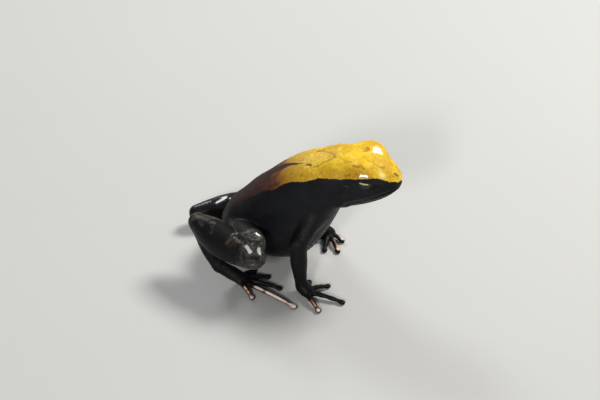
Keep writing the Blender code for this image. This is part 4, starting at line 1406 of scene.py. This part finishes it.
def eye_finish(s):
    """A black eye with a golden lens across it, greenish along its lower edge."""
    f = Finish("glossy_eye")
    back, up, front = f.weight("eye_back"), f.weight("eye_up"), f.weight("eye_front")
    grain = f.noise(0.12, 4.0, 0.65)
    aside = f.math("SUBTRACT", back, s.lens_shift)
    length = f.math("POWER", f.math("ABSOLUTE", f.math("DIVIDE", aside, s.lens_length)), 2.0)
    above = f.math("SUBTRACT", up, s.lens_level)
    height = f.math("POWER", f.math("ABSOLUTE", f.math("DIVIDE", above, s.lens_height)), 2.0)
    inside = f.math("SUBTRACT", 1.0, f.math("ADD", length, height))
    inside = f.math("ADD", inside, f.about_zero(grain, 0.6))
    gold = f.times(f.ramp(inside, -0.05, 0.4), f.ramp(front, 0.3, 0.5))
    iris = f.mix(f.ramp(above, -0.08, 0.0), s.iris_rim, s.iris_colour)
    iris = f.mix(f.ramp(grain, 0.35, 0.6), s.iris_rim, iris)
    f.feed(f.shader.inputs["Base Color"], f.mix(gold, s.pupil_colour, iris))
    f.feed(f.shader.inputs["Roughness"], f.ramp(f.noise(0.2, 2.0), 0.3, 0.7, 0.2, 0.3))
    f.set(Coat_Weight=0.3, Coat_Roughness=0.05, Specular_IOR_Level=0.25)
    return f.material


def floor_finish(s):
    """A matt pale floor with a trace of unevenness."""
    f = Finish("pale_studio_floor")
    shade = tuple(c * 0.97 for c in s.floor_colour)
    f.feed(f.shader.inputs["Base Color"], f.mix(f.noise(30.0, 2.0), s.floor_colour, shade))
    f.set(Roughness=0.75, Specular_IOR_Level=0.25)
    return f.material


# ---------------------------------------------------------------- settings and operators


def a_colour(name, text, default):
    """A setting for a colour."""
    return FloatVectorProperty(name=name, description=text, subtype="COLOR", size=3, min=0, max=1,
                               default=default)


def a_length(name, text, default):
    """A setting for a small length, in metres."""
    return FloatProperty(name=name, description=text, unit="LENGTH", min=0.0, soft_max=0.005, precision=6,
                         default=default)


def a_share(name, text, default):
    """A setting for a share of the radius of the eye."""
    return FloatProperty(name=name, description=text, subtype="FACTOR", min=-0.9, max=0.9, default=default)


def a_power(name, text, default):
    """A setting for the power of a light."""
    return FloatProperty(name=name, description=text, unit="POWER", min=0.0, soft_max=5.0, default=default)


class FrogSkinSettings(bpy.types.PropertyGroup):
    grain_size: a_length("Grain size", "Spacing of the grains of the skin", 0.42 * MM)
    grain_height: a_length("Grain height", "Height of the grains of the skin", 0.035 * MM)
    ripple_size: a_length("Ripple size", "Width of the low waves of the skin", 1.6 * MM)
    ripple_height: a_length("Ripple height", "Height of the low waves of the skin", 0.03 * MM)
    back_colour: a_colour("Back", "Main colour of the crown and back", (0.86, 0.57, 0.03))
    back_shade: a_colour("Back shade", "Deeper patches of the crown and back", (0.66, 0.37, 0.02))
    back_light: a_colour("Back light", "Paler patches of the crown and back", (0.93, 0.70, 0.12))
    # colour of the painted highlight on the side of the snout
    painted_snout_highlight_colour: a_colour("Glow", "Pale patch before the eyes", (0.95, 0.80, 0.30))
    fleck_colour: a_colour("Flecks", "Fine flecks on the back", (0.56, 0.29, 0.02))
    fringe_colour: a_colour("Fringe", "Orange along the edge of the gold", (0.62, 0.24, 0.02))
    amber_colour: a_colour("Amber", "Back behind the shoulders", (0.62, 0.42, 0.03))
    ochre_colour: a_colour("Ochre", "Middle of the back", (0.40, 0.19, 0.02))
    bronze_colour: a_colour("Bronze", "Back before the hips", (0.25, 0.10, 0.02))
    rust_colour: a_colour("Rust", "Back over the hips", (0.15, 0.055, 0.02))
    chestnut_colour: a_colour("Chestnut", "Back behind the hips", (0.080, 0.030, 0.017))
    rump_colour: a_colour("Rump", "Rump", (0.052, 0.019, 0.013))
    tail_colour: a_colour("Stripe end", "End of the back stripe", (0.025, 0.014, 0.013))
    scrawl_colour: a_colour("Scrawls", "Thin marks on the gold", (0.35, 0.185, 0.02))
    ember_colour: a_colour("Embers", "Orange-red spots before the hips", (0.36, 0.11, 0.015))
    umber_colour: a_colour("Umber marks", "Dark marks on the gold", (0.16, 0.07, 0.012))
    streak_colour: a_colour("Streak", "Dark streak down the middle of the back", (0.042, 0.019, 0.013))
    flank_colour: a_colour("Flank", "Flanks and chest", (0.0055, 0.006, 0.0075))
    flank_sheen: a_colour("Flank sheen", "Bluish patches on the flanks", (0.009, 0.010, 0.014))
    face_colour: a_colour("Face", "Cheeks and lips", (0.009, 0.0115, 0.0105))
    # colour of the painted shade inside the nostrils
    nostril_shade_colour: a_colour("Nostril", "Inside of the nostrils", (0.15, 0.09, 0.09))
    leg_colour: a_colour("Legs", "Main colour of the limbs", (0.0068, 0.0062, 0.0066))
    leg_shade: a_colour("Leg shade", "Darker bands on the limbs", (0.005, 0.005, 0.006))
    mottle_wash: a_colour("Knee", "Olive wash on the knees and heels", (0.095, 0.088, 0.078))
    cream_colour: a_colour("Cream", "Cream strokes on the knee", (0.32, 0.32, 0.25))
    tan_colour: a_colour("Tan", "Tan patches on the knee and heel", (0.145, 0.112, 0.078))
    mauve_colour: a_colour("Mauve", "Mauve strokes on the knee", (0.19, 0.15, 0.155))
    # colour of the painted lit bands on the right arm and tarsus, and of the lilac grey under the knee
    painted_light_and_lilac_colour: a_colour("Haze", "Soft lighter bands on the limbs", (0.068, 0.055, 0.052))
    ruddy_colour: a_colour("Ruddy", "Reddish strokes on the knee", (0.08, 0.045, 0.035))
    belly_fleck: a_colour("Belly flecks", "Small bluish flecks on the belly", (0.10, 0.16, 0.20))
    # colour of the painted highlight along the wet edge of the upper lip
    mouth_edge_highlight_colour: a_colour("Lip", "Pale line of the upper lip", (0.10, 0.12, 0.095))
    # colour of the painted highlight along the ridge of the pale toes
    toe_painted_highlight: a_colour("Toe ridge", "Brightest line of the pale toes", (0.92, 0.88, 0.88))
    toe_colour: a_colour("Toes", "Pale toes", (0.82, 0.68, 0.62))
    toe_shade: a_colour("Toe shade", "Orange sides of the pale toes", (0.50, 0.29, 0.15))
    toe_rim: a_colour("Toe rim", "Dark red edge of the pale toes", (0.14, 0.045, 0.03))


class FrogEyeSettings(bpy.types.PropertyGroup):
    iris_colour: a_colour("Iris", "Golden part of the iris", (0.95, 0.68, 0.28))
    iris_rim: a_colour("Iris rim", "Greenish lower edge of the gold", (0.30, 0.42, 0.18))
    pupil_colour: a_colour("Pupil", "Pupil and dark part of the iris", (0.004, 0.004, 0.005))
    lens_length: a_share("Lens length", "Half length of the gold", 0.53)
    lens_height: a_share("Lens height", "Half height of the gold", 0.1)
    lens_level: a_share("Lens level", "How far the middle of the gold lies above the gaze", 0.21)
    lens_shift: a_share("Lens shift", "How far the middle of the gold lies behind the gaze", 0.13)


class FrogStageSettings(bpy.types.PropertyGroup):
    floor_colour: a_colour("Floor", "Plain pale floor", (0.58, 0.58, 0.565))
    room_light: FloatProperty(name="Room light", description="Strength of the even light all round",
                              default=0.14, min=0.0, soft_max=2.0)
    key_power: a_power("Key light", "Power of the main soft light", 0.85)
    fill_power: a_power("Fill light", "Power of the fill light", 0.5)
    rim_power: a_power("Rim light", "Power of the light behind the frog", 0.45)


def as_piece(name, mesh, material):
    """Puts a mesh made in millimetres into the scene where the solids stand."""
    mesh.materials.append(material)
    mesh.transform(Matrix.Translation(Vector(placed_shift())))
    mesh.transform(Matrix.Scale(MM, 4))
    mesh.shade_smooth()
    piece = bpy.data.objects.new(name, mesh)
    bpy.context.scene.collection.objects.link(piece)
    return piece


class FROG_OT_skin(bpy.types.Operator):
    """Makes the frog's skin in one piece over all its flesh"""

    bl_idname = "frog.skin"
    bl_label = "Skin"

    def execute(self, context):
        settings = context.scene.frog_skin
        piece = as_piece("skin", skin_mesh(settings), skin_finish(settings))
        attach(piece, "root")
        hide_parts(*(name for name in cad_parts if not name.startswith("eye_")))
        return {"FINISHED"}


class FROG_OT_eyes(bpy.types.Operator):
    """Makes both eyeballs"""

    bl_idname = "frog.eyes"
    bl_label = "Eyes"

    def execute(self, context):
        material = eye_finish(context.scene.frog_eye)
        for side, name in SIDE_NAMES.items():
            piece = as_piece("eyeball_" + name, eyeball_mesh(side), material)
            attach(piece, "root")
            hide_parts("eye_" + name)
        return {"FINISHED"}


FLOOR_SIZE, FLOOR_GAP = 3.0, 0.00002  # metres; the gap keeps the floor just below the toes
ROOM_TINT = (0.9, 0.95, 1.0, 1.0)
LIT_PLACE = (-13.0, -1.0, 9.0)  # millimetres, in the middle of the frog
LIGHTS = (  # name, setting, where it stands from the lit place, its distance and size in metres, its tint
    ("overhead", "key_power", (0.46, 0.46, 0.76), 0.30, 0.09, (1.0, 0.98, 0.94)),
    ("front", "fill_power", (-0.06, -0.85, 0.53), 0.35, 0.05, (1.0, 0.98, 0.95)),
    ("behind", "rim_power", (-0.57, 0.62, 0.54), 0.35, 0.09, (0.95, 0.98, 1.0)),
)
CAMERA_YAW, CAMERA_ELEVATION = math.radians(13.0), math.radians(40.0)
CAMERA_DISTANCE = 208.33  # millimetres
CAMERA_AIM = (-12.03, -4.59, 13.99)
CAMERA_LENS = 100.0


class FROG_OT_stage(bpy.types.Operator):
    """Makes the pale floor, the soft lights and the camera"""

    bl_idname = "frog.stage"
    bl_label = "Stage"

    def execute(self, context):
        settings = context.scene.frog_stage
        shift = placed_shift()
        bpy.ops.mesh.primitive_plane_add(size=FLOOR_SIZE, location=(0, 0, -FLOOR_GAP))
        floor = context.object
        floor.name = "floor"
        floor.data.materials.append(floor_finish(settings))
        world = bpy.data.worlds.new("studio")
        world.use_nodes = True
        background = world.node_tree.nodes["Background"].inputs
        background["Color"].default_value = ROOM_TINT
        background["Strength"].default_value = settings.room_light
        context.scene.world = world
        context.scene.view_settings.view_transform = "Standard"
        middle = (np.array(LIT_PLACE) + shift) * MM
        for name, setting, *place in LIGHTS:
            add_light(name, getattr(settings, setting), middle, *place)
        add_camera(shift)
        return {"FINISHED"}


def add_light(name, energy, middle, direction, distance, size, tint):
    """Adds a square soft light that faces the middle."""
    data = bpy.data.lights.new(name, "AREA")
    data.size = size
    data.energy = energy
    data.color = tint
    light = bpy.data.objects.new(name, data)
    heading = Vector(direction).normalized()
    light.location = Vector(middle) + heading * distance
    light.rotation_euler = heading.to_track_quat("Z", "Y").to_euler()
    bpy.context.scene.collection.objects.link(light)


def add_camera(shift):
    """Adds the camera, looking down on the frog's right side from a little ahead of it."""
    data = bpy.data.cameras.new("camera")
    data.lens = CAMERA_LENS
    data.clip_start, data.clip_end = 0.01, 10.0
    camera = bpy.data.objects.new("camera", data)
    level = Vector((-math.sin(CAMERA_YAW), math.cos(CAMERA_YAW), 0.0))
    ahead = level * math.cos(CAMERA_ELEVATION) - Vector((0, 0, math.sin(CAMERA_ELEVATION)))
    aim = Vector(CAMERA_AIM) + Vector(shift)
    camera.location = (aim - ahead * CAMERA_DISTANCE) * MM
    camera.rotation_euler = ahead.to_track_quat("-Z", "Y").to_euler()
    bpy.context.scene.collection.objects.link(camera)
    bpy.context.scene.camera = camera


class FROG_PT_panel(bpy.types.Panel):
    """Lists the pieces of the frog"""

    bl_idname = "FROG_PT_panel"
    bl_label = "Mantella Frog"
    bl_space_type = "VIEW_3D"
    bl_region_type = "UI"
    bl_category = "Frog"

    def draw(self, context):
        for operator, group in zip(OPERATORS, GROUPS):
            box = self.layout.box()
            box.operator(operator.bl_idname)
            settings = getattr(context.scene, group)
            for name in settings.bl_rna.properties.keys():
                if name not in ("rna_type", "name"):
                    box.prop(settings, name)


GROUPS = {"frog_skin": FrogSkinSettings, "frog_eye": FrogEyeSettings, "frog_stage": FrogStageSettings}
OPERATORS = (FROG_OT_skin, FROG_OT_eyes, FROG_OT_stage)
CLASSES = (*GROUPS.values(), *OPERATORS, FROG_PT_panel)


def register():
    for cls in CLASSES:
        bpy.utils.register_class(cls)
    for name, group in GROUPS.items():
        setattr(bpy.types.Scene, name, PointerProperty(type=group))


def unregister():
    for name in GROUPS:
        delattr(bpy.types.Scene, name)
    for cls in reversed(CLASSES):
        bpy.utils.unregister_class(cls)


def main():
    register()
    bpy.ops.frog.skin()
    bpy.ops.frog.eyes()
    bpy.ops.frog.stage()


if __name__ == "__main__":
    main()
